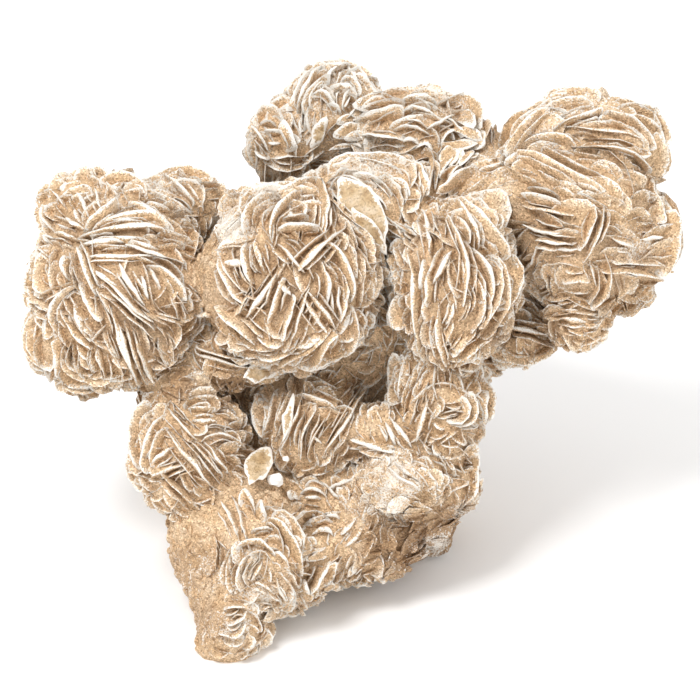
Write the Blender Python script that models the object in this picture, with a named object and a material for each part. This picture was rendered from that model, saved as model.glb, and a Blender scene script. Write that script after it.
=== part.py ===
"""Gypsum sand rose: round rosettes of lens-shaped blades, grown together on a short tapering foot.

One solid, standing on a flat cut under its foot. Metres and +Z up once meshed. Every length below is
in millimetres. The front is laid out on a drawing plane that leans back from upright: a place has a
distance across, a distance up that plane and a depth behind it.
"""

import math
import random

import bmesh
import bpy
from mathutils import Matrix, Vector

MM = 0.001
LEAN = math.radians(30)
CUT_LEVEL = -61.6
CENTRE_X = 0.0
CENTRE_Y = 15.3

BLADE_RIM = 1.0
BLADE_TAPER = 0.11
ROOT_LEAST = 6.0
ROOT_SHARE = 0.5
LEAST_BOW = 0.16
LEAST_RISE = 0.2
LEAST_GRIP = 0.75
LONG_BLADE = 8.0
OUTER_TURNS = (3, 5)
ROOT_TURNS = 1
LOOSE_VOLUME = 2e-9
BIG_LUMP = 12.5
BIG_CORE = (9, 6)
SMALL_CORE = (7, 5)

HIDDEN_SIDE_GAP = 9.0
HIDDEN_SIDE_CLEAR = 0.98
SEED = 7

# Each lump: across, up, depth, then its radii across, up and deep, then the share its core fills.
LUMPS = {
    "heart": (-5, 4, 26, 44, 25, 20, 1.0),
    "west": (-52.7, 15, 5, 21.7, 24.7, 20, 0.83),
    "west_hem": (-62.5, 3.5, 8, 13, 10.5, 13, 0.85),
    "west_top": (-39, 33, 14, 11, 9, 10, 0.8),
    "mid": (-14, 17, -3, 23, 23, 22, 0.8),
    "mid_hem": (-27, -1, 6, 13, 8, 9, 0.85),
    "arm": (-39.5, -9.5, 9, 9.5, 10, 9, 0.9),
    "bridge": (5, 33, 6, 20, 12, 14, 0.8),
    "east": (24, 15, -4, 15, 21, 17, 0.78),
    "far_east": (54.5, 28.5, 8, 19, 20, 18, 0.82),
    "far_top": (53.5, 46.5, 13, 19.5, 14, 14, 0.82),
    "far_left": (42, 36, 9, 15, 13, 13, 0.8),
    "far_foot": (52, 8, 10, 8, 8, 8, 0.85),
    "far_hem": (62, 14, 15, 8, 6, 8, 0.9),
    "saddle": (30, 36.5, 9, 12.5, 11, 12, 0.88),
    "between": (10, 13, 11, 26, 17, 12, 1.0),
    "neck_east": (41, 23, 21, 18, 13, 14, 0.95),
    "ledge": (39, 4.5, 20, 10, 8.3, 10, 0.9),
    "crown": (-4.5, 54.5, 32, 12.5, 13, 14, 0.8),
    "crown_foot": (-16, 48, 28, 8.5, 9.5, 10, 0.9),
    "shelf": (15.5, 49.5, 22, 15, 12.3, 14, 0.86),
    "low_west": (-37, -23, 6, 14.5, 16, 13, 0.8),
    "cave": (-8, -17, 11, 15, 13, 13, 0.45),
    "low_east": (20, -12, 8, 12, 18, 13, 0.88),
    "belly": (11, -31, 3, 11, 9, 10, 0.88),
    "belly_top": (8, -19, 5, 9, 7, 8, 0.8),
    "waist": (-1, -39, 17, 22, 15.5, 15, 1.0),
    "shin": (-26, -43.5, 10, 16.5, 19.5, 14, 0.96),
    "knee": (-20, -48, -1, 11, 12, 10, 0.82),
    "knee_hem": (-15.5, -51.3, 9, 12, 8.8, 11, 0.95),
    "toe": (-27, -62, 4, 8.5, 12, 12, 0.97),
    "side": (16.5, -33, 17, 10, 13.5, 13, 0.94),
    "heel": (5, -32, 42, 22, 22, 22, 1.0),
    "back_foot": (-14, -25, 42, 25, 22, 22, 1.0),
    "back_west": (-34, 18, 38, 20, 18, 20, 0.82),
    "back_east": (35, 25, 36, 20, 17, 20, 0.82),
    "back_top": (5, 40, 40, 22, 14, 17, 0.88),
}

# The crests of the main blades, on the lump they grow from: start, (highest point,) end.
CRESTS = {
    "west": [
        ((-63, 25), (-49, 29), (-41, 27)),
        ((-63, 26), (-48, 32), (-39, 28)),
        ((-55, 36), (-43, 36), (-37, 33)),
        ((-61, 29), (-53, 36)),
        ((-69, 28), (-63, 26)),
        ((-63, 24), (-61, 20), (-59, 12)),
        ((-63, 16), (-60, 10), (-58, 6)),
        ((-62, 21), (-53, 22), (-44, 22)),
        ((-53, 20), (-51, 16), (-46, 10)),
        ((-46, 20), (-40, 17), (-36, 11)),
        ((-58, 17), (-52, 12), (-46, 5)),
        ((-55, 9), (-52, 0), (-48, -10)),
        ((-50, 3), (-46, -6), (-44, -9)),
        ((-64, 15), (-69, 8), (-67, 2)),
        ((-70, 1), (-67, -7)),
        ((-66, 1), (-66, -5), (-58, -7)),
        ((-72, 30), (-66, 36), (-58, 39)),
        ((-58, 40), (-52, 41), (-46, 39)),
        ((-74, 23), (-75, 14), (-76, 7)),
        ((-76, 9), (-75, 2), (-71, -6)),
    ],
    "west_top": [
        ((-44, 40), (-37, 36), (-36, 33)),
        ((-46, 40), (-38, 42), (-31, 40)),
    ],
    "mid": [
        ((-20, 41), (-14, 43), (-6, 40)),
        ((-27, 37), (-20, 39), (-12, 39)),
        ((-6, 40), (-5, 33), (-5, 26)),
        ((-25, 26), (-24, 33), (-16, 37)),
        ((-18, 25), (-17, 32), (-9, 37)),
        ((-17, 28), (-12, 29), (-6, 29)),
        ((-31, 22), (-29, 16), (-24, 9)),
        ((-17, 24), (-13, 21), (-10, 17)),
        ((-11, 18), (-8, 22), (0, 29)),
        ((-5, 25), (0, 19), (1, 10)),
        ((-9, 13), (-6, 9), (-2, 4)),
        ((0, 12), (-2, 6)),
        ((-2, 3), (-5, 0), (-10, -5)),
        ((2, 9), (5, 6), (4, 1)),
        ((-16, 18), (-25, 6)),
        ((-32, 9), (-22, 0)),
    ],
    "mid_hem": [
        ((-36, 1), (-33, -2), (-18, -4)),
    ],
    "bridge": [
        ((-12, 44), (0, 45), (16, 43)),
        ((-5, 38), (0, 40), (9, 31)),
        ((3, 32), (8, 26)),
        ((8, 30), (16, 26)),
    ],
    "east": [
        ((20, 35), (30, 32), (37, 21)),
        ((22, 32), (27, 20), (26, 9)),
        ((16, 34), (18, 28), (18, 23)),
        ((33, 23), (37, 13), (31, 1)),
        ((29, 17), (31, 11), (28, 3)),
        ((12, 24), (14, 14), (17, -4)),
        ((23, 23), (18, 15)),
        ((19, 9), (20, 1), (22, -5)),
        ((9, 12), (11, 0)),
    ],
    "far_east": [
        ((38, 29), (45, 27), (48, 27)),
        ((58, 34), (57, 26), (53, 19)),
        ((59, 21), (60, 14), (55, 8)),
        ((43, 24), (39, 16)),
        ((39, 15), (43, 10), (53, 9)),
        ((67, 25), (73, 26)),
        ((58, 17), (74, 18)),
        ((73, 42), (77, 35), (74, 29)),
        ((74, 31), (76, 24), (74, 17)),
    ],
    "far_top": [
        ((43, 57), (51, 60), (59, 59)),
        ((62, 57), (70, 54), (73, 46)),
        ((46, 51), (55, 55), (59, 56)),
        ((59, 56), (67, 52), (72, 46)),
        ((52, 47), (63, 46), (70, 37)),
    ],
    "saddle": [
        ((19, 36), (23, 40), (29, 43)),
    ],
    "far_left": [
        ((35, 46), (41, 54), (46, 57)),
        ((39, 48), (48, 43), (60, 37)),
        ((39, 48), (46, 50), (53, 48)),
        ((39, 33), (52, 31)),
    ],
    "far_foot": [
        ((48, 5), (52, 1), (54, 1)),
    ],
    "ledge": [
        ((36, 6), (47, 3)),
        ((34, -1), (42, -4), (47, 1)),
    ],
    "crown": [
        ((-23, 54), (-20, 55), (-16, 54)),
        ((-23, 52), (-18, 44)),
        ((-13, 55), (-9, 64)),
        ((-5, 64), (2, 62), (5, 58)),
        ((-9, 64), (-1, 68), (6, 61)),
        ((-23, 53), (-24, 46), (-23, 39)),
        ((-6, 55), (-12, 47)),
    ],
    "shelf": [
        ((1, 54), (12, 58), (18, 59)),
        ((9, 51), (15, 52), (20, 47)),
        ((1, 49), (6, 51), (12, 47)),
        ((17, 48), (20, 45), (19, 37)),
        ((21, 58), (29, 55), (32, 49)),
    ],
    "low_west": [
        ((-43, -14), (-47, -21), (-48, -29)),
        ((-43, -18), (-37, -25), (-30, -33)),
        ((-46, -29), (-38, -26)),
        ((-48, -10), (-50, -19), (-49, -28)),
        ((-33, -21), (-27, -29)),
        ((-39, -12), (-32, -10), (-29, -13)),
    ],
    "cave": [
        ((-18, -9), (-20, -22)),
        ((-12, -10), (-13, -16), (-17, -24)),
        ((-7, -12), (-11, -20), (-11, -26)),
        ((-12, -9), (-2, -13)),
        ((4, -7), (-2, -18), (-6, -26)),
    ],
    "low_east": [
        ((11, 0), (8, -13)),
        ((29, -9), (29, -16), (23, -18)),
        ((18, -11), (15, -22)),
        ((32, -8), (33, -13), (31, -19)),
    ],
    "side": [
        ((29, -21), (31, -27), (30, -35)),
    ],
    "belly": [
        ((8, -26), (17, -33)),
    ],
    "belly_top": [
        ((8, -16), (11, -22)),
    ],
    "knee": [
        ((-19, -37), (-12, -47), (-10, -54)),
        ((-28, -56), (-28, -48), (-14, -48)),
        ((-30, -34), (-28, -37), (-25, -43)),
        ((-30, -63), (-23, -62)),
    ],
}

# How many blades a seeded rule adds on the sides and back of a lump.
HIDDEN_BLADES = {
    "back_west": 8,
    "back_east": 8,
    "back_top": 5,
    "back_foot": 5,
    "heel": 4,
    "west": 5,
    "far_east": 4,
    "crown": 3,
    "shelf": 2,
    "far_top": 2,
}


def place(across, up, depth):
    """A point of the leaning drawing plane in the stone's own upright axes."""
    y = up * math.sin(LEAN) + depth * math.cos(LEAN)
    z = up * math.cos(LEAN) - depth * math.sin(LEAN)
    return Vector((across, y, z))


def centre_of(lump):
    return Vector(LUMPS[lump][:3])


def radii_of(lump):
    return Vector(LUMPS[lump][3:6])


def lift(lump, point):
    """The point on the near side of a lump's ellipsoid that covers this point of the plane."""
    centre = centre_of(lump)
    radii = radii_of(lump)
    x = (point[0] - centre.x) / radii.x
    y = (point[1] - centre.y) / radii.y
    near = math.sqrt(max(0.0, 1.0 - x * x - y * y))
    return Vector((point[0], point[1], centre.z - radii.z * near))


def crest_between(lump, start, end):
    """The highest point of a blade that stands straight out of its lump between two points."""
    centre = centre_of(lump)
    radii = radii_of(lump)
    unit = [Vector([(p[i] - centre[i]) / radii[i] for i in range(3)]) for p in (start, end)]
    reach = (unit[0].length + unit[1].length) / 2
    middle = (unit[0] + unit[1]).normalized() * reach
    return Vector([centre[i] + middle[i] * radii[i] for i in range(3)])


def clear_scene():
    for obj in list(bpy.data.objects):
        bpy.data.objects.remove(obj)


def helper_object(name, mesh, group):
    """A solid that only feeds the union, kept out of the render."""
    obj = bpy.data.objects.new(name, mesh)
    obj.hide_render = True
    obj.display_type = "WIRE"
    group.objects.link(obj)
    return obj


def blade_mesh(start, crest, end, heart, name):
    """A wedge-thin petal: a bowed crest from start to end, thickening back to its buried root."""
    middle = (start + end) / 2
    along = (end - start).normalized()
    rise = crest - middle
    rise -= along * rise.dot(along)
    bow = rise.length
    out = rise.normalized()
    radial = middle - heart
    radial = (radial - along * radial.dot(along)).normalized()
    if bow < LEAST_RISE:
        out = radial
    out = (out + radial * max(0.0, LEAST_GRIP - out.dot(radial))).normalized()
    side = along.cross(out)
    half = (end - start).length / 2
    bow = max(bow, LEAST_BOW * half)
    root = ROOT_LEAST + ROOT_SHARE * half
    turns = OUTER_TURNS[half > LONG_BLADE]
    rim = [math.pi * step / turns for step in range(turns + 1)]
    heel = [math.pi * (1 + step / (ROOT_TURNS + 1)) for step in range(1, ROOT_TURNS + 1)]
    outline = [(half * math.cos(turn), bow * math.sin(turn)) for turn in rim]
    outline += [(half * math.cos(turn), root * math.sin(turn)) for turn in heel]
    form = bmesh.new()
    faces = []
    for sign in (1, -1):
        face = []
        for x, y in outline:
            thick = BLADE_RIM + BLADE_TAPER * (bow - y)
            spot = middle + along * x + out * y + side * (sign * thick / 2)
            face.append(form.verts.new(place(*spot) * MM))
        faces.append(face)
    form.faces.new(faces[0])
    form.faces.new(reversed(faces[1]))
    count = len(outline)
    for i in range(count):
        j = (i + 1) % count
        form.faces.new((faces[0][j], faces[0][i], faces[1][i], faces[1][j]))
    bmesh.ops.recalc_face_normals(form, faces=form.faces)
    mesh = bpy.data.meshes.new(name)
    form.to_mesh(mesh)
    form.free()
    return mesh


def core_mesh(lump, name):
    """The solid heart of a lump, an ellipsoid of flat facets."""
    radii = radii_of(lump) * LUMPS[lump][6]
    form = bmesh.new()
    sides, rings = BIG_CORE if min(radii_of(lump)) > BIG_LUMP else SMALL_CORE
    bmesh.ops.create_uvsphere(form, u_segments=sides, v_segments=rings, radius=1.0)
    turn = Matrix.Rotation(hash_angle(lump), 3, "Z")
    for vert in form.verts:
        unit = turn @ vert.co
        spot = centre_of(lump) + Vector([unit[i] * radii[i] for i in range(3)])
        vert.co = place(*spot) * MM
    mesh = bpy.data.meshes.new(name)
    form.to_mesh(mesh)
    form.free()
    return mesh


def hash_angle(lump):
    """A different turn for each lump, so that no two cores share a facet's plane."""
    return 0.37 * list(LUMPS).index(lump)


def inside_other(lump, spot):
    """Whether a place lies within another lump."""
    for other in LUMPS:
        if other == lump:
            continue
        centre = centre_of(other)
        radii = radii_of(other)
        share = sum(((spot[i] - centre[i]) / radii[i]) ** 2 for i in range(3))
        if share < HIDDEN_SIDE_CLEAR:
            return True
    return False


def hidden_crests(lump, count, dice):
    """Crests spread over the side and back of a lump, each turned at random about its own direction."""
    centre = centre_of(lump)
    radii = radii_of(lump)
    found = []
    for _ in range(count * 40):
        if len(found) == count:
            break
        way = Vector((dice.gauss(0, 1), dice.gauss(0, 1), dice.gauss(0, 1))).normalized()
        spot = centre + Vector([way[i] * radii[i] for i in range(3)])
        low = place(*spot).z < CUT_LEVEL + 6
        near = any((spot - other[3]).length < HIDDEN_SIDE_GAP for other in found)
        if way.z < -0.05 or low or near or inside_other(lump, spot):
            continue
        across = way.orthogonal().normalized()
        across.rotate(Matrix.Rotation(dice.uniform(0, math.pi), 3, way))
        half = dice.uniform(0.4, 0.6) * sum(radii) / 3
        ends = [unit_reach(centre, radii, spot + across * (half * s)) for s in (-1, 1)]
        found.append((ends[0], spot, ends[1], spot))
    return [crest[:3] for crest in found]


def unit_reach(centre, radii, spot):
    """Pulls a point onto the ellipsoid."""
    unit = Vector([(spot[i] - centre[i]) / radii[i] for i in range(3)]).normalized()
    return centre + Vector([unit[i] * radii[i] for i in range(3)])


def add_blades(group):
    dice = random.Random(SEED)
    made = 0
    for lump, crests in CRESTS.items():
        for points in crests:
            start = lift(lump, points[0])
            end = lift(lump, points[-1])
            crest = lift(lump, points[1]) if len(points) == 3 else crest_between(lump, start, end)
            name = f"blade_{made}"
            helper_object(name, blade_mesh(start, crest, end, centre_of(lump), name), group)
            made += 1
    for lump, count in HIDDEN_BLADES.items():
        for start, crest, end in hidden_crests(lump, count, dice):
            name = f"blade_{made}"
            helper_object(name, blade_mesh(start, crest, end, centre_of(lump), name), group)
            made += 1


def add_cores(group):
    for lump in list(LUMPS)[1:]:
        helper_object("core_" + lump, core_mesh(lump, "core_" + lump), group)


def joined_mesh(obj):
    graph = bpy.context.evaluated_depsgraph_get()
    return bpy.data.meshes.new_from_object(obj.evaluated_get(graph))


def shells_of(form):
    """The separate closed shells of a mesh, each a set of faces."""
    left = set(form.faces)
    shells = []
    while left:
        front = [left.pop()]
        shell = set(front)
        while front:
            for edge in front.pop().edges:
                for face in edge.link_faces:
                    if face in left:
                        left.remove(face)
                        shell.add(face)
                        front.append(face)
        shells.append(shell)
    return shells


def volume_of(shell):
    """Signed volume: a shell that bounds a hollow turns its faces inwards and comes out negative."""
    total = 0.0
    for face in shell:
        first = face.verts[0].co
        for second, third in zip(face.verts[1:], face.verts[2:]):
            total += first.dot(second.co.cross(third.co))
    return total / 6


def fill_pockets(form):
    """Drops the closed pockets between crossing blades, and stops if a blade isn't grown on."""
    shells = sorted(shells_of(form), key=volume_of)
    loose = [shell for shell in shells[:-1] if volume_of(shell) > LOOSE_VOLUME]
    for shell in loose:
        spot = sum((face.calc_center_median() for face in shell), Vector()) / len(shell) / MM
        up = spot.y * math.sin(LEAN) + spot.z * math.cos(LEAN)
        depth = spot.y * math.cos(LEAN) - spot.z * math.sin(LEAN)
        print(f"loose near across {spot.x:.0f}, up {up:.0f}, depth {depth:.0f}")
    if loose:
        raise ValueError(f"{len(loose)} pieces of the stone hang loose")
    for shell in shells[:-1]:
        bmesh.ops.delete(form, geom=list(shell), context="FACES")


def cut_foot(form):
    """Slices the foot off flat and closes the cut."""
    everything = form.verts[:] + form.edges[:] + form.faces[:]
    cut = bmesh.ops.bisect_plane(
        form,
        geom=everything,
        dist=1e-6,
        plane_co=(0, 0, CUT_LEVEL * MM),
        plane_no=(0, 0, -1),
        clear_outer=True,
    )
    edges = [part for part in cut["geom_cut"] if isinstance(part, bmesh.types.BMEdge)]
    bmesh.ops.edgenet_fill(form, edges=edges)


def stone_material():
    material = bpy.data.materials.new("gypsum_and_sand")
    material.use_nodes = True
    shader = material.node_tree.nodes["Principled BSDF"]
    shader.inputs["Base Color"].default_value = (0.58, 0.42, 0.27, 1)
    shader.inputs["Roughness"].default_value = 0.85
    shader.inputs["Metallic"].default_value = 0.0
    return material


def make_stone():
    group = bpy.data.collections.new("growth")
    bpy.context.scene.collection.children.link(group)
    add_cores(group)
    add_blades(group)
    heart = bpy.data.objects.new("sand_rose", core_mesh("heart", "sand_rose"))
    bpy.context.scene.collection.objects.link(heart)
    union = heart.modifiers.new("grow_together", "BOOLEAN")
    union.operation = "UNION"
    union.operand_type = "COLLECTION"
    union.collection = group
    union.solver = "EXACT"
    whole = joined_mesh(heart)
    heart.modifiers.clear()
    form = bmesh.new()
    form.from_mesh(whole)
    cut_foot(form)
    fill_pockets(form)
    bmesh.ops.triangulate(form, faces=form.faces)
    bmesh.ops.translate(form, verts=form.verts, vec=Vector((-CENTRE_X, -CENTRE_Y, -CUT_LEVEL)) * MM)
    form.to_mesh(heart.data)
    form.free()
    heart.data.materials.clear()
    heart.data.materials.append(stone_material())
    for helper in list(group.objects):
        bpy.data.objects.remove(helper)
    return heart


def main():
    clear_scene()
    stone = make_stone()
    print(stone.name, len(stone.data.polygons), "triangles")


main()
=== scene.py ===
# %% [markdown]
# # A gypsum sand rose
# The real thing is one stone: balls of thin lens-shaped gypsum blades, full of sand, that grew into
# each other on a short foot. This file dresses it. It starts from a fixed frame, a plain solid of the
# same lumps and main blades, and every piece made here stands on that frame.

# %% The frame
import math
import random

import bpy
import numpy as np
from mathutils import Matrix, Vector
from mathutils.bvhtree import BVHTree
from mathutils.kdtree import KDTree


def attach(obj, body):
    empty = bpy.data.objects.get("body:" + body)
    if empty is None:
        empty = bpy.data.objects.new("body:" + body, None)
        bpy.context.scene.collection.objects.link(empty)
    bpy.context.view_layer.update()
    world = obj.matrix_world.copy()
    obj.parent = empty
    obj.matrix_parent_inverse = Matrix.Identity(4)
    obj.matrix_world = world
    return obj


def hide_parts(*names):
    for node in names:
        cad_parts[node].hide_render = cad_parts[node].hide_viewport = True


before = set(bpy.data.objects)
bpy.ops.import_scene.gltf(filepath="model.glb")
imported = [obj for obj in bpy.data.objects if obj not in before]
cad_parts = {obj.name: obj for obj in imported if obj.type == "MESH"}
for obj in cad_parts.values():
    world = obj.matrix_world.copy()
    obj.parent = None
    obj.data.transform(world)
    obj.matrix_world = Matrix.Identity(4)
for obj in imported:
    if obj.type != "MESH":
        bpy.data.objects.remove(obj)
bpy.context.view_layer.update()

NODE = "sand_rose"
MM = 0.001

# %% [markdown]
# ## The drawing plane
# A cluster like this is easiest to lay out on a plane that faces the viewer. It leans back 30 degrees
# from upright. A place on it has a distance across, a distance up and a depth behind it, all in
# millimetres, and one short formula stands it upright and drops it onto the surface.

# %% From the drawing plane to the upright stone
LEAN = math.radians(30)
CUT_LEVEL = -61.6
CENTRE_Y = 15.3


def stand_up(points):
    """Drawing-plane millimetres to upright metres, for an array of points."""
    points = np.asarray(points, float)
    across, up, depth = points[..., 0], points[..., 1], points[..., 2]
    y = up * math.sin(LEAN) + depth * math.cos(LEAN) - CENTRE_Y
    z = up * math.cos(LEAN) - depth * math.sin(LEAN) - CUT_LEVEL
    return np.stack([across, y, z], axis=-1) * MM


def lay_back(points):
    """Upright metres to drawing-plane millimetres: the way back."""
    points = np.asarray(points, float) / MM
    y = points[..., 1] + CENTRE_Y
    z = points[..., 2] + CUT_LEVEL
    up = y * math.sin(LEAN) + z * math.cos(LEAN)
    depth = y * math.cos(LEAN) - z * math.sin(LEAN)
    return np.stack([points[..., 0], up, depth], axis=-1)


print("the drawing plane leans back", round(math.degrees(LEAN)), "degrees")

# %% [markdown]
# ## The lumps
# Each rosette and each swelling of the foot is an ellipsoid. The last number of a lump is the share of
# it that is solid: a rosette is open between its blades, and the foot is nearly solid. The same lumps
# are in the frame, so the dressed stone keeps its shape and its size.

# %% Lumps: across, up, depth, radii across, up and deep, solid share
LUMPS = {
    "heart": (-5, 4, 26, 44, 25, 20, 1.0),
    "west": (-52.7, 15, 5, 21.7, 24.7, 20, 0.83),
    "west_hem": (-62.5, 3.5, 8, 13, 10.5, 13, 0.85),
    "west_top": (-39, 33, 14, 11, 9, 10, 0.8),
    "mid": (-14, 17, -3, 23, 23, 22, 0.8),
    "mid_hem": (-27, -1, 6, 13, 8, 9, 0.85),
    "arm": (-39.5, -9.5, 9, 9.5, 10, 9, 0.9),
    "bridge": (5, 33, 6, 20, 12, 14, 0.8),
    "east": (24, 15, -4, 15, 21, 17, 0.78),
    "far_east": (54.5, 28.5, 8, 19, 20, 18, 0.82),
    "far_top": (53.5, 46.5, 13, 19.5, 14, 14, 0.82),
    "far_left": (42, 36, 9, 15, 13, 13, 0.8),
    "far_foot": (52, 8, 10, 8, 8, 8, 0.85),
    "far_hem": (62, 14, 15, 8, 6, 8, 0.9),
    "saddle": (30, 36.5, 9, 12.5, 11, 12, 0.88),
    "between": (10, 13, 11, 26, 17, 12, 1.0),
    "neck_east": (41, 23, 21, 18, 13, 14, 0.95),
    "ledge": (39, 4.5, 20, 10, 8.3, 10, 0.9),
    "crown": (-4.5, 54.5, 32, 12.5, 13, 14, 0.8),
    "crown_foot": (-16, 48, 28, 8.5, 9.5, 10, 0.9),
    "shelf": (15.5, 49.5, 22, 15, 12.3, 14, 0.86),
    "low_west": (-37, -23, 6, 14.5, 16, 13, 0.8),
    "cave": (-8, -17, 11, 15, 13, 13, 0.45),
    "low_east": (20, -12, 8, 12, 18, 13, 0.88),
    "belly": (11, -31, 3, 11, 9, 10, 0.88),
    "belly_top": (8, -19, 5, 9, 7, 8, 0.8),
    "waist": (-1, -39, 17, 22, 15.5, 15, 1.0),
    "shin": (-26, -43.5, 10, 16.5, 19.5, 14, 0.96),
    "knee": (-20, -48, -1, 11, 12, 10, 0.82),
    "knee_hem": (-15.5, -51.3, 9, 12, 8.8, 11, 0.95),
    "toe": (-27, -62, 4, 8.5, 12, 12, 0.97),
    "side": (16.5, -33, 17, 10, 13.5, 13, 0.94),
    "heel": (5, -32, 42, 22, 22, 22, 1.0),
    "back_foot": (-14, -25, 42, 25, 22, 22, 1.0),
    "back_west": (-34, 18, 38, 20, 18, 20, 0.82),
    "back_east": (35, 25, 36, 20, 17, 20, 0.82),
    "back_top": (5, 40, 40, 22, 14, 17, 0.88),
}
LUMP_NAMES = list(LUMPS)
CENTRES = np.array([LUMPS[name][:3] for name in LUMP_NAMES], float)
RADII = np.array([LUMPS[name][3:6] for name in LUMP_NAMES], float)
print(len(LUMPS), "lumps")

# %% [markdown]
# ## The main blades
# What the eye reads on a sand rose is its crests: the bright outer edges of the blades. So the main
# blades are given by their crests, as a start, a highest point and an end on the drawing plane. A
# crest with two points stands straight out of its lump. Everything smaller follows these.

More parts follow.
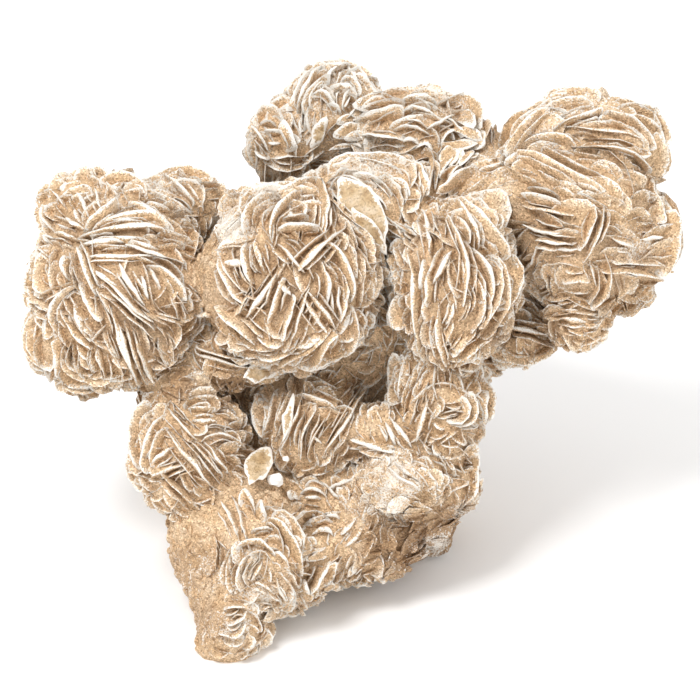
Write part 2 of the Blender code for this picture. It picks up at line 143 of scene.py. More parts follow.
# %% Crests of the main blades, on the lump that each grows from
CRESTS = {
    "west": [
        ((-63, 25), (-49, 29), (-41, 27)), ((-63, 26), (-48, 32), (-39, 28)),
        ((-55, 36), (-43, 36), (-37, 33)), ((-61, 29), (-53, 36)), ((-69, 28), (-63, 26)),
        ((-63, 24), (-61, 20), (-59, 12)), ((-63, 16), (-60, 10), (-58, 6)),
        ((-62, 21), (-53, 22), (-44, 22)), ((-53, 20), (-51, 16), (-46, 10)),
        ((-46, 20), (-40, 17), (-36, 11)), ((-58, 17), (-52, 12), (-46, 5)),
        ((-55, 9), (-52, 0), (-48, -10)), ((-50, 3), (-46, -6), (-44, -9)), ((-64, 15), (-69, 8), (-67, 2)),
        ((-70, 1), (-67, -7)), ((-66, 1), (-66, -5), (-58, -7)), ((-72, 30), (-69, 34)),
        ((-67, 36), (-60, 39)), ((-64, 33), (-62, 29)), ((-58, 40), (-52, 41), (-46, 39)),
        ((-74, 23), (-75, 14), (-76, 7)), ((-76, 9), (-75, 2), (-71, -6)), ((-51, 35), (-40, 29)),
        ((-63, 37), (-60, 32)), ((-59, 38), (-57, 33)), ((-55, 39), (-53, 37)), ((-66, 31), (-61, 28)),
        ((-73, 29), (-69, 25)), ((-61, 24), (-52, 26)), ((-52, 25), (-46, 23), (-41, 21)),
        ((-46, 25), (-44, 21)), ((-48, 17), (-46, 12)), ((-46, 19), (-43, 14)), ((-60, 19), (-53, 14)),
        ((-58, 15), (-51, 10), (-44, 3)), ((-52, 12), (-44, 5)), ((-53, 6), (-50, -5)),
        ((-67, 9), (-62, 2), (-59, 0)), ((-64, 10), (-61, 3)), ((-65, 22), (-66, 20), (-65, 16)),
        ((-73, 11), (-69, 9)), ((-74, 9), (-71, 4)), ((-70, 9), (-71, 1)), ((-58, 0), (-57, -5)),
    ],
    "west_top": [
        ((-44, 40), (-37, 36), (-36, 33)), ((-46, 40), (-38, 42), (-31, 40)),
    ],
    "mid": [
        ((-20, 41), (-14, 43), (-6, 40)), ((-27, 37), (-20, 39), (-12, 39)), ((-6, 40), (-5, 33), (-5, 26)),
        ((-25, 26), (-24, 33), (-16, 37)), ((-18, 25), (-17, 32), (-9, 37)),
        ((-17, 28), (-12, 29), (-6, 29)), ((-31, 22), (-29, 16), (-24, 9)),
        ((-17, 24), (-13, 21), (-10, 17)), ((-11, 18), (-8, 22), (0, 29)), ((-5, 25), (0, 19), (1, 10)),
        ((-9, 13), (-6, 9), (-2, 4)), ((0, 12), (-2, 6)), ((-2, 3), (-5, 0), (-10, -5)),
        ((2, 9), (5, 6), (4, 1)), ((-16, 18), (-25, 6)), ((-32, 9), (-22, 0)),
        ((-7, 38), (-6, 31), (-6, 28)), ((-27, 36), (-18, 38), (-13, 35)), ((-12, 34), (-6, 34)),
        ((-14, 33), (-14, 29)), ((-10, 34), (-11, 30)), ((-8, 34), (-8, 30)),
        ((-25, 25), (-25, 20), (-23, 15)), ((-22, 24), (-20, 18)), ((-31, 22), (-29, 25), (-26, 25)),
        ((-29, 20), (-25, 20)), ((-11, 12), (-7, 6), (-5, 3)), ((-6, 18), (-5, 15), (-5, 9)),
        ((-3, 15), (-2, 7)), ((1, 10), (-2, 3)), ((-1, 1), (-6, -6), (-10, -7)),
        ((-6, 1), (-14, -3), (-16, -6)), ((-6, 2), (-12, 0)), ((2, 9), (1, 0), (-1, -3)),
        ((-15, 17), (-20, 5)), ((-12, 12), (-16, 1)), ((-9, 14), (-14, 1)), ((-16, 16), (-13, 12)),
        ((-36, 7), (-33, 7)), ((-26, 7), (-20, 2)), ((-29, 3), (-20, 0)), ((-34, 31), (-31, 26)),
        ((-32, 26), (-25, 33)),
    ],
    "mid_hem": [
        ((-36, 1), (-33, -2), (-18, -4)),
    ],
    "bridge": [
        ((-12, 44), (-1, 45), (15, 44)), ((-5, 38), (0, 40), (9, 31)), ((3, 32), (8, 26)),
        ((8, 30), (16, 26)), ((16, 44), (18, 40), (19, 36)), ((-6, 41), (-3, 44), (1, 44)),
        ((6, 41), (10, 39), (12, 35)), ((8, 40), (12, 39), (14, 35)), ((-5, 38), (0, 32), (8, 25)),
        ((0, 41), (4, 41), (7, 39)),
    ],
    "east": [
        ((20, 35), (30, 32), (37, 21)), ((22, 32), (27, 20), (26, 9)), ((16, 34), (18, 28), (18, 23)),
        ((33, 23), (37, 13), (31, 1)), ((29, 17), (31, 11), (28, 3)), ((12, 24), (14, 14), (17, -4)),
        ((23, 23), (18, 15)), ((19, 9), (20, 1), (22, -5)), ((9, 12), (11, 0)),
        ((23, 34), (28, 30), (30, 24)), ((28, 24), (33, 17), (32, 9)), ((16, 21), (15, 13)),
        ((17, 18), (17, 9)), ((24, 10), (22, 5)), ((13, 9), (13, 1)), ((23, -1), (28, 2)),
        ((24, -3), (33, 3)),
    ],
    "far_east": [
        ((38, 29), (45, 27), (48, 27)), ((58, 34), (57, 26), (53, 19)), ((59, 21), (60, 14), (55, 8)),
        ((43, 24), (39, 16)), ((39, 15), (43, 10), (53, 9)), ((67, 25), (73, 26)), ((58, 17), (74, 18)),
        ((73, 42), (77, 35), (74, 29)), ((74, 31), (76, 24), (74, 17)), ((38, 37), (48, 35)),
        ((41, 25), (51, 24)), ((46, 23), (52, 23)), ((52, 39), (58, 36)), ((55, 20), (57, 14)),
        ((44, 18), (46, 12)), ((48, 15), (55, 15)), ((60, 25), (66, 23)),
    ],
    "far_top": [
        ((43, 57), (51, 60), (59, 59)), ((62, 57), (70, 54), (73, 46)), ((46, 51), (55, 55), (59, 56)),
        ((59, 56), (67, 52), (72, 46)), ((52, 47), (63, 46), (70, 37)), ((36, 49), (41, 55), (49, 56)),
        ((43, 58), (51, 59)), ((48, 51), (62, 50), (70, 46)), ((60, 47), (67, 44), (70, 46)),
    ],
    "far_left": [
        ((35, 46), (41, 54), (46, 57)), ((39, 48), (48, 43), (60, 37)), ((39, 48), (46, 50), (53, 48)),
        ((39, 33), (52, 31)), ((29, 41), (36, 44)), ((34, 44), (39, 48)),
    ],
    "far_foot": [
        ((48, 5), (52, 1), (54, 1)), ((48, 7), (55, 7)),
    ],
    "saddle": [
        ((19, 36), (23, 40), (29, 43)),
    ],
    "ledge": [
        ((36, 6), (47, 3)), ((34, -1), (42, -4), (47, 1)),
    ],
    "crown_foot": [
        ((-23.5, 53.4), (-21, 50), (-18.4, 45.3)), ((-23.5, 53.6), (-20, 55), (-15.2, 54.4)),
        ((-15.2, 54.2), (-13.6, 50.5), (-11, 46.5)), ((-14.6, 52.4), (-13.2, 49.5), (-11.7, 46.7)),
        ((-23, 46), (-21, 44.4), (-18.9, 43.7)), ((-17.9, 43.7), (-15, 45), (-12.2, 44.8)),
        ((-20.5, 51), (-17.5, 51.4), (-15, 51)), ((-19.5, 48.5), (-16.5, 48)),
        ((-22.5, 49), (-22, 45), (-21, 41)),
    ],
    "crown": [
        ((-13.1, 54.7), (-11, 61), (-5.8, 66.2)), ((-11.7, 54.7), (-9.9, 60.5), (-4.6, 65.5)),
        ((-15, 57.5), (-12.7, 61.6), (-8, 65.5)), ((-15.4, 55.7), (-13.8, 59.3), (-11.5, 62.6)),
        ((-9.6, 56), (-9, 60), (-5.8, 63.5)), ((-6.2, 61), (-4, 65), (-1.6, 66)),
        ((-1.6, 66), (1, 65), (3, 62.3)), ((-0.2, 64.4), (2.8, 65), (5, 63)),
        ((5, 63), (6.4, 60.3), (6.9, 58.2)), ((-2.3, 62.8), (1, 63.5), (3.4, 59.8)),
        ((-4.8, 61.9), (-0.5, 61.8), (2.8, 59.3)), ((-9.4, 59.1), (-6, 60), (-3, 55.2)),
        ((-10, 57), (-10, 53), (-9, 50)), ((-1.8, 55.2), (-1.8, 58), (0, 61)),
        ((-0.7, 53.6), (0.7, 55.2), (2.8, 58.7)), ((3, 56), (5, 58.5)), ((-5, 54), (-7, 51), (-10, 47)),
        ((-6, 57.5), (-3.5, 56.5), (-1.9, 55)), ((-7.5, 67), (-3, 67.8), (1, 67.3)),
        ((2, 66), (5, 64), (7, 60)),
    ],
    "shelf": [
        ((-2, 55), (4, 57), (12, 58)), ((11, 58), (16, 59), (21, 58)), ((0, 53), (7, 56), (12, 57)),
        ((8, 52), (12, 54), (17, 55)), ((12, 56), (17, 56), (22, 53)), ((9, 51), (14, 52), (19, 49)),
        ((18, 51), (21, 53), (25, 55)), ((22, 54), (25, 52), (27, 49)), ((2, 49), (6, 50), (12, 48)),
        ((12, 48), (14, 49), (16, 47)), ((15, 46), (18, 47), (20, 43)), ((20, 44), (19, 40), (18, 36)),
        ((22, 47), (23, 50), (26, 51)), ((26, 51), (29, 51), (31, 48)), ((23, 47), (26, 46), (30, 48)),
        ((31, 51), (31, 48), (29, 46)), ((21, 39), (23, 43), (26, 46)), ((23, 41), (26, 46)),
        ((-6, 46), (-1, 48), (3, 46)), ((-5, 49), (-2, 52), (1, 53)), ((3, 49), (3, 46)),
        ((21, 58), (28, 57), (31, 51)), ((-2, 48), (0, 51)), ((26, 42), (29, 46)),
    ],
    "low_west": [
        ((-43, -14), (-47, -21), (-48, -29)), ((-43, -18), (-37, -25), (-30, -33)), ((-46, -29), (-38, -26)),
        ((-48, -10), (-50, -19), (-49, -28)), ((-33, -21), (-27, -29)), ((-39, -12), (-32, -10), (-29, -13)),
        ((-43, -13), (-35, -21)), ((-46, -26), (-41, -22)), ((-44, -28), (-35, -37)),
        ((-37, -21), (-29, -29)), ((-37, -13), (-30, -13)), ((-36, -16), (-30, -16)),
        ((-34, -21), (-29, -19), (-21, -22)),
    ],
    "cave": [
        ((-18, -9), (-20, -22)), ((-12, -10), (-13, -16), (-17, -24)), ((-7, -12), (-11, -20), (-11, -26)),
        ((-12, -9), (-2, -13)), ((4, -7), (-2, -18), (-6, -26)), ((-22, -10), (-21, -21)),
        ((-15, -9), (-17, -16)), ((-12, -16), (-12, -25)), ((-7, -14), (-10, -23)), ((-9, -19), (-6, -22)),
    ],
    "low_east": [
        ((11, 0), (8, -13)), ((29, -9), (29, -16), (23, -18)), ((18, -11), (15, -22)),
        ((32, -8), (33, -13), (31, -19)), ((31, -2), (31, -8)),
    ],
    "belly": [
        ((8, -26), (17, -33)), ((10, -25), (16, -30)), ((17, -26), (21, -32)),
    ],
    "belly_top": [
        ((8, -16), (11, -22)), ((10, -16), (15, -23)), ((-1, -21), (10, -24)),
    ],
    "waist": [
        ((-12, -33), (-9, -32), (-6, -34)), ((-7, -30), (-4, -33), (-3, -34)),
        ((-5, -32), (-1, -30), (2, -28)), ((-2, -43), (0, -41), (2, -39)), ((-11, -34), (-7, -34)),
        ((-6, -39), (-4, -38), (-3, -39)), ((-14, -40), (-11, -38), (-8, -38)),
        ((-15, -34), (-14, -32), (-13, -34)), ((-12, -47), (-9, -47), (-6, -46)),
        ((-1, -46), (1, -44), (3, -41)), ((-9, -43), (-6, -41), (-4, -43)),
        ((-12, -44), (-11, -41), (-12, -40)),
    ],
    "knee": [
        ((-19, -37), (-14, -41), (-10, -53)), ((-27, -46), (-22, -43), (-16, -47)),
        ((-28, -47), (-29, -52), (-28, -57)), ((-24, -47), (-26, -52), (-25, -57)),
        ((-20, -48), (-21, -51), (-23, -54)), ((-15, -51), (-13, -54), (-12, -58)),
        ((-16, -52), (-15, -56), (-14, -58)), ((-18, -46), (-15, -47), (-13, -51)),
        ((-23, -55), (-20, -54), (-17, -56)), ((-30, -34), (-28, -37), (-26, -42)),
        ((-27, -34), (-25, -39), (-24, -43)), ((-26, -35), (-24, -32), (-22, -37)),
        ((-21, -34), (-20, -35), (-19, -37)), ((-23, -41), (-20, -40), (-18, -40)),
    ],
    "knee_hem": [
        ((-9, -57), (-6, -52), (-4, -48)), ((-10, -53), (-9, -57)), ((-20, -63), (-17, -61), (-14, -60)),
    ],
    "toe": [
        ((-29, -63), (-25, -62), (-23, -60)), ((-31, -65), (-26, -66), (-23, -63)),
        ((-29, -60), (-26, -59), (-23, -60)), ((-23, -60), (-20, -63), (-20, -65)),
    ],
    "side": [
        ((29, -21), (31, -27), (30, -35)),
    ],
}
print(sum(len(crests) for crests in CRESTS.values()), "main crests on the near side")

# %% [markdown]
# ## The solid stone under the blades
# Behind the blades the stone is a sandy mass. It could be sculpted by hand, but then it would drift
# away from its frame. So its lumps are balls, joined and wrapped in one new skin by a voxel remesh. A
# few fillers, which carry no blades, round out its rims. A smooth modifier then rounds the creases, as
# sand and growth do, and displace modifiers with cloud textures make the skin uneven. The foot is cut
# flat with a bisect that fills its cut.

# %% Adding, selecting and editing a piece
def fresh(kind, name, **how):
    """Adds a primitive with nothing else selected, and names it."""
    bpy.ops.object.select_all(action="DESELECT")
    getattr(bpy.ops.mesh, "primitive_" + kind + "_add")(**how)
    piece = bpy.context.object
    piece.name = name
    piece.data.name = name
    return piece


def pick(piece):
    """Makes this piece the only one selected."""
    bpy.ops.object.select_all(action="DESELECT")
    piece.select_set(True)
    bpy.context.view_layer.objects.active = piece


def apply_all(piece):
    """Applies a piece's modifiers, the first one first."""
    pick(piece)
    for modifier in list(piece.modifiers):
        bpy.ops.object.modifier_apply(modifier=modifier.name)


def in_edit_mode(*steps):
    """Runs each step on everything in the active piece, in edit mode."""
    bpy.ops.object.mode_set(mode="EDIT")
    bpy.ops.mesh.select_all(action="SELECT")
    for operator, values in steps:
        operator(**values)
    bpy.ops.object.mode_set(mode="OBJECT")


# %% Shaking a piece, and its numbers
def shake(piece, texture, strength, way="RGB_TO_XYZ"):
    """Adds a displace modifier: every point moves by up to half the strength, in millimetres."""
    shift = piece.modifiers.new(texture.name, "DISPLACE")
    shift.texture = texture
    shift.texture_coords = "LOCAL"
    shift.direction = way
    shift.strength = strength * MM
    shift.mid_level = 0.5


def points_of(mesh):
    """A mesh's points as an array, one row for each."""
    points = np.empty(len(mesh.vertices) * 3)
    mesh.vertices.foreach_get("co", points)
    return points.reshape(-1, 3)


def give(mesh, name, values):
    """Stores one number per point on a mesh."""
    layer = mesh.attributes.new(name, "FLOAT", "POINT")
    layer.data.foreach_set("value", np.asarray(values, np.float32))


def clouds(name, size, kind="GRAYSCALE"):
    """A cloud texture, with its size in millimetres. A coloured one pushes a point any way."""
    texture = bpy.data.textures.new(name, "CLOUDS")
    texture.noise_scale = size * MM
    texture.noise_depth = 1
    texture.cloud_type = kind
    return texture


WANDER = clouds("wander", 9.0, "COLOR")
RIPPLE = clouds("ripple", 2.6, "COLOR")
ROUGH = clouds("rough", 1.6)
SWELL = clouds("swell", 14.0)
print(len(bpy.data.textures), "cloud textures")

# %% One ball of the mass
MASS_LEAST = 0.90
MASS_MOST = 0.95
BALL_FACES = {"segments": 32, "ring_count": 20}
FILLERS = {
    "toe_fill": (-30, -54, 6, 8.2, 12, 11, 1.0),
    "hem_fill": (-12, -47, 12, 12, 10, 12, 1.0),
    "far_rim": (66, 26, 10, 9.8, 12, 12, 1.0),
    "far_shoulder": (63, 46, 14, 10.2, 11, 10, 1.0),
    "west_rim": (-58, 31.5, 8, 13.5, 9.5, 10, 1.0),
    "west_under": (-61, -2.5, 9, 8, 7.5, 8, 1.0),
    "side_rim": (21.5, -31, 16, 9, 9, 11, 1.0),
    "notch": (31, 46.5, 12, 5, 6, 6, 1.0),
    "toe_tip": (-30.5, -68, 2, 5.0, 5.5, 6.0, 1.0),
}


def ball_of(name, lump):
    """A ball stretched to a lump, a little inside its outline."""
    share = min(max(lump[6], MASS_LEAST), MASS_MOST)
    ball = fresh("uv_sphere", "ball_" + name, radius=1.0, **BALL_FACES)
    places = points_of(ball.data) * np.array(lump[3:6]) * share + np.array(lump[:3])
    ball.data.vertices.foreach_set("co", stand_up(places).reshape(-1))
    return ball


print(len(LUMPS) + len(FILLERS), "balls to join")

# %% The mass
MASS_SKIN = 1.35
MASS_ROUNDING = 12
MASS_SWELLING = 3.0
MASS_ROUGHNESS = 1.3


def model_mass():
    """The lumps and fillers as one uneven skin, cut flat underneath."""
    balls = [ball_of(name, lump) for name, lump in {**LUMPS, **FILLERS}.items()]
    bpy.ops.object.select_all(action="DESELECT")
    for ball in balls:
        ball.select_set(True)
    bpy.context.view_layer.objects.active = balls[0]
    bpy.ops.object.join()
    mass = bpy.context.object
    mass.name = "stone_mass"
    mass.data.name = "stone_mass"
    in_edit_mode((bpy.ops.mesh.normals_make_consistent, {"inside": False}))
    skin = mass.modifiers.new("skin", "REMESH")
    skin.mode = "VOXEL"
    skin.voxel_size = MASS_SKIN * MM
    rounding = mass.modifiers.new("rounding", "SMOOTH")
    rounding.factor = 0.5
    rounding.iterations = MASS_ROUNDING
    shake(mass, SWELL, MASS_SWELLING, "NORMAL")
    shake(mass, ROUGH, MASS_ROUGHNESS, "NORMAL")
    apply_all(mass)
    ground = {"plane_co": (0, 0, 0), "plane_no": (0, 0, 1), "use_fill": True, "clear_inner": True}
    in_edit_mode((bpy.ops.mesh.bisect, ground))
    return mass


mass = model_mass()
print("mass", len(mass.data.polygons), "faces")

# %% [markdown]
# ## Lifting a crest onto the stone
# A crest is drawn flat, so each of its points is sent straight back from the drawing plane until it
# meets the skin of the mass. A shrinkwrap modifier could do that for a finished curve. A ray cast
# against a tree of the faces does it for one point, and also says which way the skin faces there. The
# point then comes forward by the blade's height. Where the ray misses the lump, or meets one far behind
# it, the ray slides in towards the lump's middle until it meets the rim, so no blade hangs loose.

# %% Finding the skin
VIEW_WAY = Vector((0, math.cos(LEAN), -math.sin(LEAN)))
RAY_START = -80.0
LEAST_FACING = 0.45
RIM_FACING = 0.3
SLIDES = 24
DEPTH_SLACK = 2.5


def centre_of(lump):
    return Vector(LUMPS[lump][:3])


def radii_of(lump):
    return Vector(LUMPS[lump][3:6])


skin_tree = BVHTree.FromObject(mass, bpy.context.evaluated_depsgraph_get())


def lift(lump, point, height):
    """Sets a drawn point above the skin by this height. A point beside the mass comes in to its rim."""
    middle = LUMPS[lump][:2]
    for step in range(SLIDES):
        slid = [value + (middle[i] - value) * step / SLIDES for i, value in enumerate(point)]
        hit, normal, _, _ = skin_tree.ray_cast(Vector(stand_up((*slid, RAY_START))), VIEW_WAY)
        if hit is None or lay_back(hit)[2] > LUMPS[lump][2] + DEPTH_SLACK:
            continue
        if step == 0 or normal.dot(VIEW_WAY) < -RIM_FACING:
            break
    if step:
        return Vector(lay_back(hit + normal * height * MM))
    facing = max(LEAST_FACING, -normal.dot(VIEW_WAY))
    return Vector((point[0], point[1], float(lay_back(hit)[2]) - height / facing))


def onto(lump, spot):
    """Moves a place onto the lump's ellipsoid."""
    centre = centre_of(lump)
    radii = radii_of(lump)
    unit = Vector([(spot[i] - centre[i]) / radii[i] for i in range(3)]).normalized()
    return centre + Vector([unit[i] * radii[i] for i in range(3)])


print("the middle rosette's skin is at depth", round(lift("mid", LUMPS["mid"][:2], 0.0).z, 1), "mm")

# %% [markdown]
# ## Blades on the sides and back
# The far side has main blades too. Their crests could be drawn one by one like those in front, but then
# the drawing plane would have to face the back. So a seeded rule spreads them over the lumps there, each
# turned at random about its own direction. A rule with a seed gives the same blades every time.

# %% The seeded rule for the hidden side
HIDDEN_BLADES = {
    "back_west": 8, "back_east": 8, "back_top": 5, "back_foot": 5, "heel": 4,
    "west": 5, "far_east": 4, "crown": 3, "shelf": 2, "far_top": 2,
}
HIDDEN_SIDE_GAP = 9.0
HIDDEN_SIDE_CLEAR = 0.98
HIDDEN_SIDE_FRONT = -0.05
HIDDEN_SIDE_TRIES = 40
HIDDEN_SIDE_HALF = (0.4, 0.6)
LOW_LIMIT = 6.0


def lump_share(spot, skip):
    """How deep a place lies in the other lumps: under 1 is inside one of them."""
    shares = (((np.array(spot) - CENTRES) / RADII) ** 2).sum(axis=1)
    shares[LUMP_NAMES.index(skip)] = math.inf
    return shares.min()


def hidden_crests(lump, count, dice):
    """Crests on the far side of a lump: start, highest point and end of each."""
    centre = centre_of(lump)
    radii = radii_of(lump)
    found = []
    for _ in range(count * HIDDEN_SIDE_TRIES):
        if len(found) == count:
            break
        way = Vector((dice.gauss(0, 1), dice.gauss(0, 1), dice.gauss(0, 1))).normalized()
        spot = centre + Vector([way[i] * radii[i] for i in range(3)])
        low = stand_up(spot)[2] / MM < LOW_LIMIT
        near = any((spot - other[1]).length < HIDDEN_SIDE_GAP for other in found)
        if way.z < HIDDEN_SIDE_FRONT or low or near or lump_share(spot, lump) < HIDDEN_SIDE_CLEAR:
            continue
        across = way.orthogonal().normalized()
        across.rotate(Matrix.Rotation(dice.uniform(0, math.pi), 3, way))
        half = dice.uniform(*HIDDEN_SIDE_HALF) * sum(radii) / 3
        ends = [onto(lump, spot + across * (half * s)) for s in (-1, 1)]
        found.append((ends[0], spot, ends[1]))
    return found


print(sum(HIDDEN_BLADES.values()), "blades are wanted on the hidden side")

# %% [markdown]
# ## From a crest to a blade
# A blade is a thin wall that follows its crest over the stone and runs straight in towards the middle
# of its lump, as a crystal that grew outwards does. Each could be a curve given a thickness, but a
# curve has no root. So a blade is written down first, as its crest, how far the ends of its rim dip,
# how deep its root goes and how far it leans over. Gypsum blades grow in sheaves, so a long blade gets
# a companion or two that run beside it.

# %% What a main blade is
BIG_HEIGHT = (2.2, 4.0)
SMALL_HEIGHT = (1.4, 2.6)
BIG_HALF = 5.0
MAIN_SNOW = (0.75, 1.3)
LESS_SNOW_BELOW = 0.6
SNOWY_LUMPS = ("crown", "crown_foot", "shelf", "bridge")
MORE_SNOW = 0.5
PROUD_LUMPS = ("crown", "crown_foot", "shelf", "bridge", "saddle")
PROUD_MORE = 0.5
MAIN_LEAN = 9.0
END_DIP = (0.5, 0.55)
ROOT_DEPTH = (3.0, 0.25)


def unit_places(lump, spots):
    """Places as shares of the lump's radii from its middle: length 1 is on its outline."""
    centre = centre_of(lump)
    radii = radii_of(lump)
    return np.array([[(spot[i] - centre[i]) / radii[i] for i in range(3)] for spot in spots])


def snow_of(lump, top, dice):
    """Rims on the lower half of a lump carry less white."""
    below = max(0.0, (centre_of(lump)[1] - top[1]) / radii_of(lump)[1])
    return dice.uniform(*MAIN_SNOW) - LESS_SNOW_BELOW * below + (MORE_SNOW if lump in SNOWY_LUMPS else 0.0)


def blade_on_crest(lump, start, top, end, height, kind, dice):
    """What is known about a main blade, from its crest in space."""
    half = (end - start).length / 2
    return {
        "lump": lump, "kind": kind, "spots": (start, top, end), "half": half,
        "crest": unit_places(lump, (start, top, end)),
        "dip": END_DIP[0] + END_DIP[1] * height,
        "root": ROOT_DEPTH[0] + ROOT_DEPTH[1] * half,
        "lean": math.radians(dice.gauss(0, MAIN_LEAN)),
        "snow": snow_of(lump, top, dice),
    }


def height_of(lump, points, dice):
    """A long blade stands higher than a short one, and those round the crown stand highest."""
    long = math.dist(points[0], points[-1]) / 2 > BIG_HALF
    height = dice.uniform(*(BIG_HEIGHT if long else SMALL_HEIGHT))
    return height + (PROUD_MORE if lump in PROUD_LUMPS else 0.0)


print("a long main blade stands", BIG_HEIGHT, "mm over the skin, a short one", SMALL_HEIGHT)

# %% Companions, and adding a blade to the list
COMPANION_GAP = (1.3, 2.4)
COMPANION_CHANCE = 0.75
COMPANION_LENGTH = (0.55, 0.9)
COMPANION_SLIDE = 0.15
COMPANION_LEAST = 3.0
FARTHEST_ENDS = 1.8
ENDS_SLACK = 4.0
FOOT_SHARES = (0.1, 0.3, 0.5, 0.7, 0.9)
main_blades = []
feet = []


def along_crest(points, share):
    """The drawn crest's point at a share of its length."""
    pull = [2 * points[1][i] - (points[0][i] + points[2][i]) / 2 for i in (0, 1)]
    return [(1 - share) ** 2 * points[0][i] + 2 * share * (1 - share) * pull[i] + share ** 2 * points[2][i]
            for i in (0, 1)]


def companions(points, dice):
    """Crests that run beside this one: shorter, shifted sideways, and slid along it a little."""
    length = math.dist(points[0], points[2])
    if length / 2 < COMPANION_LEAST:
        return []
    across = [(points[2][1] - points[0][1]) / length, (points[0][0] - points[2][0]) / length]
    middle = along_crest(points, 0.5)
    found = []
    for side in (-1, 1):
        gap = side * dice.uniform(*COMPANION_GAP)
        shorter = dice.uniform(*COMPANION_LENGTH)
        slide = dice.uniform(-COMPANION_SLIDE, COMPANION_SLIDE)
        if dice.random() < COMPANION_CHANCE:
            found.append([
                [middle[i] + shorter * (point[i] - middle[i]) + gap * across[i]
                 + slide * (points[2][i] - points[0][i]) for i in (0, 1)] for point in points
            ])
    return found


def add_main(lump, points, height, kind, dice):
    """Adds the blade on a drawn crest, unless its ends land far apart in depth."""
    start, top, end = (lift(lump, point, height) for point in points)
    if (end - start).length > FARTHEST_ENDS * math.dist(points[0], points[2]) + ENDS_SLACK:
        return
    main_blades.append(blade_on_crest(lump, start, top, end, height, kind, dice))
    feet.extend(np.array(lift(lump, along_crest(points, share), 0.0)) for share in FOOT_SHARES)


print("a blade gets a companion on each side", COMPANION_CHANCE, "of the time")

# %% The main blades
LEAN_SEED = 11
HIDDEN_SIDE_SEED = 7
COMPANION_LOWER = (0.3, 1.2)
lean_dice = random.Random(LEAN_SEED)
for lump, crests in CRESTS.items():
    for points in crests:
        height = height_of(lump, points, lean_dice)
        drawn = points if len(points) == 3 else [points[0], [(a + b) / 2 for a, b in zip(*points)], points[1]]
        add_main(lump, drawn, height, "main", lean_dice)
        for beside in companions(drawn, lean_dice):
            add_main(lump, beside, height - lean_dice.uniform(*COMPANION_LOWER), "middle", lean_dice)
hidden_dice = random.Random(HIDDEN_SIDE_SEED)
for lump, count in HIDDEN_BLADES.items():
    for start, top, end in hidden_crests(lump, count, hidden_dice):
        height = lean_dice.uniform(*BIG_HEIGHT)
        main_blades.append(blade_on_crest(lump, start, top, end, height, "main", lean_dice))
print(len(main_blades), "main blades")

# %% [markdown]
# ## The blades between
# Between the main blades every rosette is packed with smaller ones, which run with their neighbours in
# sheaves that fan and cross. Particles could scatter them, but they would neither follow the crests nor
# keep their distance. So each grows from a spot on the skin of the mass, out along its normal, and runs
# the way of the nearest main crest with a little disorder. A spot is left out where a blade already
# stands too close beside it, so the sheaves are evenly spaced and the main rims stand clear.

# %% How each lump is filled
HABITS = {
    # half length and spacing in millimetres, stray and lean in degrees, height over the skin
    "broad": {"half": 4.6, "spacing": 1.05, "stray": 13, "lean": 11, "height": (1.1, 2.9)},
    "fine": {"half": 3.1, "spacing": 1.05, "stray": 14, "lean": 14, "height": (0.9, 2.5)},
    "petal": {"half": 2.7, "spacing": 1.5, "stray": 26, "lean": 12, "height": (0.7, 2.3)},
    "sandy": {"half": 2.0, "spacing": 1.9, "stray": 80, "lean": 30, "height": (0.1, 0.8)},
    "strand": {"half": 5.2, "spacing": 1.25, "stray": 9, "lean": 12, "height": (1.0, 2.6)},
    "shingle": {"half": 6.4, "spacing": 2.0, "stray": 8, "lean": 8, "height": (0.6, 2.1)},
    "rear": {"half": 5.0, "spacing": 1.75, "stray": 16, "lean": 14, "height": (1.0, 2.6)},
}
LUMP_HABITS = {
    "broad": ("west", "west_hem", "mid", "east"),
    "strand": ("crown", "crown_foot", "shelf", "bridge"),
    "shingle": ("far_east", "far_top", "far_left", "saddle"),
    "rear": ("back_west", "back_east", "back_top", "heart", "heel", "back_foot"),
    "petal": ("arm", "belly", "belly_top", "waist", "knee_hem", "toe", "side"),
    "sandy": ("shin",),
}
SANDY_EDGE = -29.0
SANDY_FLANK = (-27.5, 4, 32)


def habit_of(lump, spot):
    """The name of the habit. Two places are sand: the west of the foot and the middle rosette's flank."""
    if lump in ("toe", "knee_hem") and spot[0] < SANDY_EDGE:
        return "sandy"
    if lump == "mid" and spot[0] < SANDY_FLANK[0] and SANDY_FLANK[1] < spot[1] < SANDY_FLANK[2]:
        return "sandy"
    return next((habit for habit, lumps in LUMP_HABITS.items() if lump in lumps), "fine")


print(len(HABITS), "habits, half lengths", [habit["half"] for habit in HABITS.values()], "mm")

# %% Spots on the skin
FOOT_CLEAR = 0.8


def skin_spots():
    """Middles and outward directions of the mass's faces, in the drawing plane's frame."""
    faces = mass.data.polygons
    centres = np.empty(len(faces) * 3)
    normals = np.empty(len(faces) * 3)
    faces.foreach_get("center", centres)
    faces.foreach_get("normal", normals)
    centres = centres.reshape(-1, 3)
    keep = centres[:, 2] > FOOT_CLEAR * MM
    tips = lay_back(centres + normals.reshape(-1, 3) * MM)
    spots = lay_back(centres)
    return spots[keep], (tips - spots)[keep]


def home_lumps(spots):
    """The lump whose skin each spot is nearest to."""
    shares = ((spots[:, None, :] - CENTRES) / RADII) ** 2
    return shares.sum(axis=2).argmin(axis=1)


spots, normals = skin_spots()
homes = home_lumps(spots)
print(len(spots), "spots on the skin")

# %% Guides: the main crests, and loose ones where no crest is near
FILL_SEED = 23
GUIDE_NEAR = 8.5
PETAL_NEAR = 0.6
LOOSE_APART = 1.3
fill_dice = random.Random(FILL_SEED)
order = list(range(len(spots)))
fill_dice.shuffle(order)
guides = []
for blade in main_blades:
    start, top, end = blade["spots"]
    guides += [
        (start, top - start), (start.lerp(top, 0.5), top - start), (top, end - start),
        (top.lerp(end, 0.5), end - top), (end, end - top),
    ]
crest_count = len(guides)


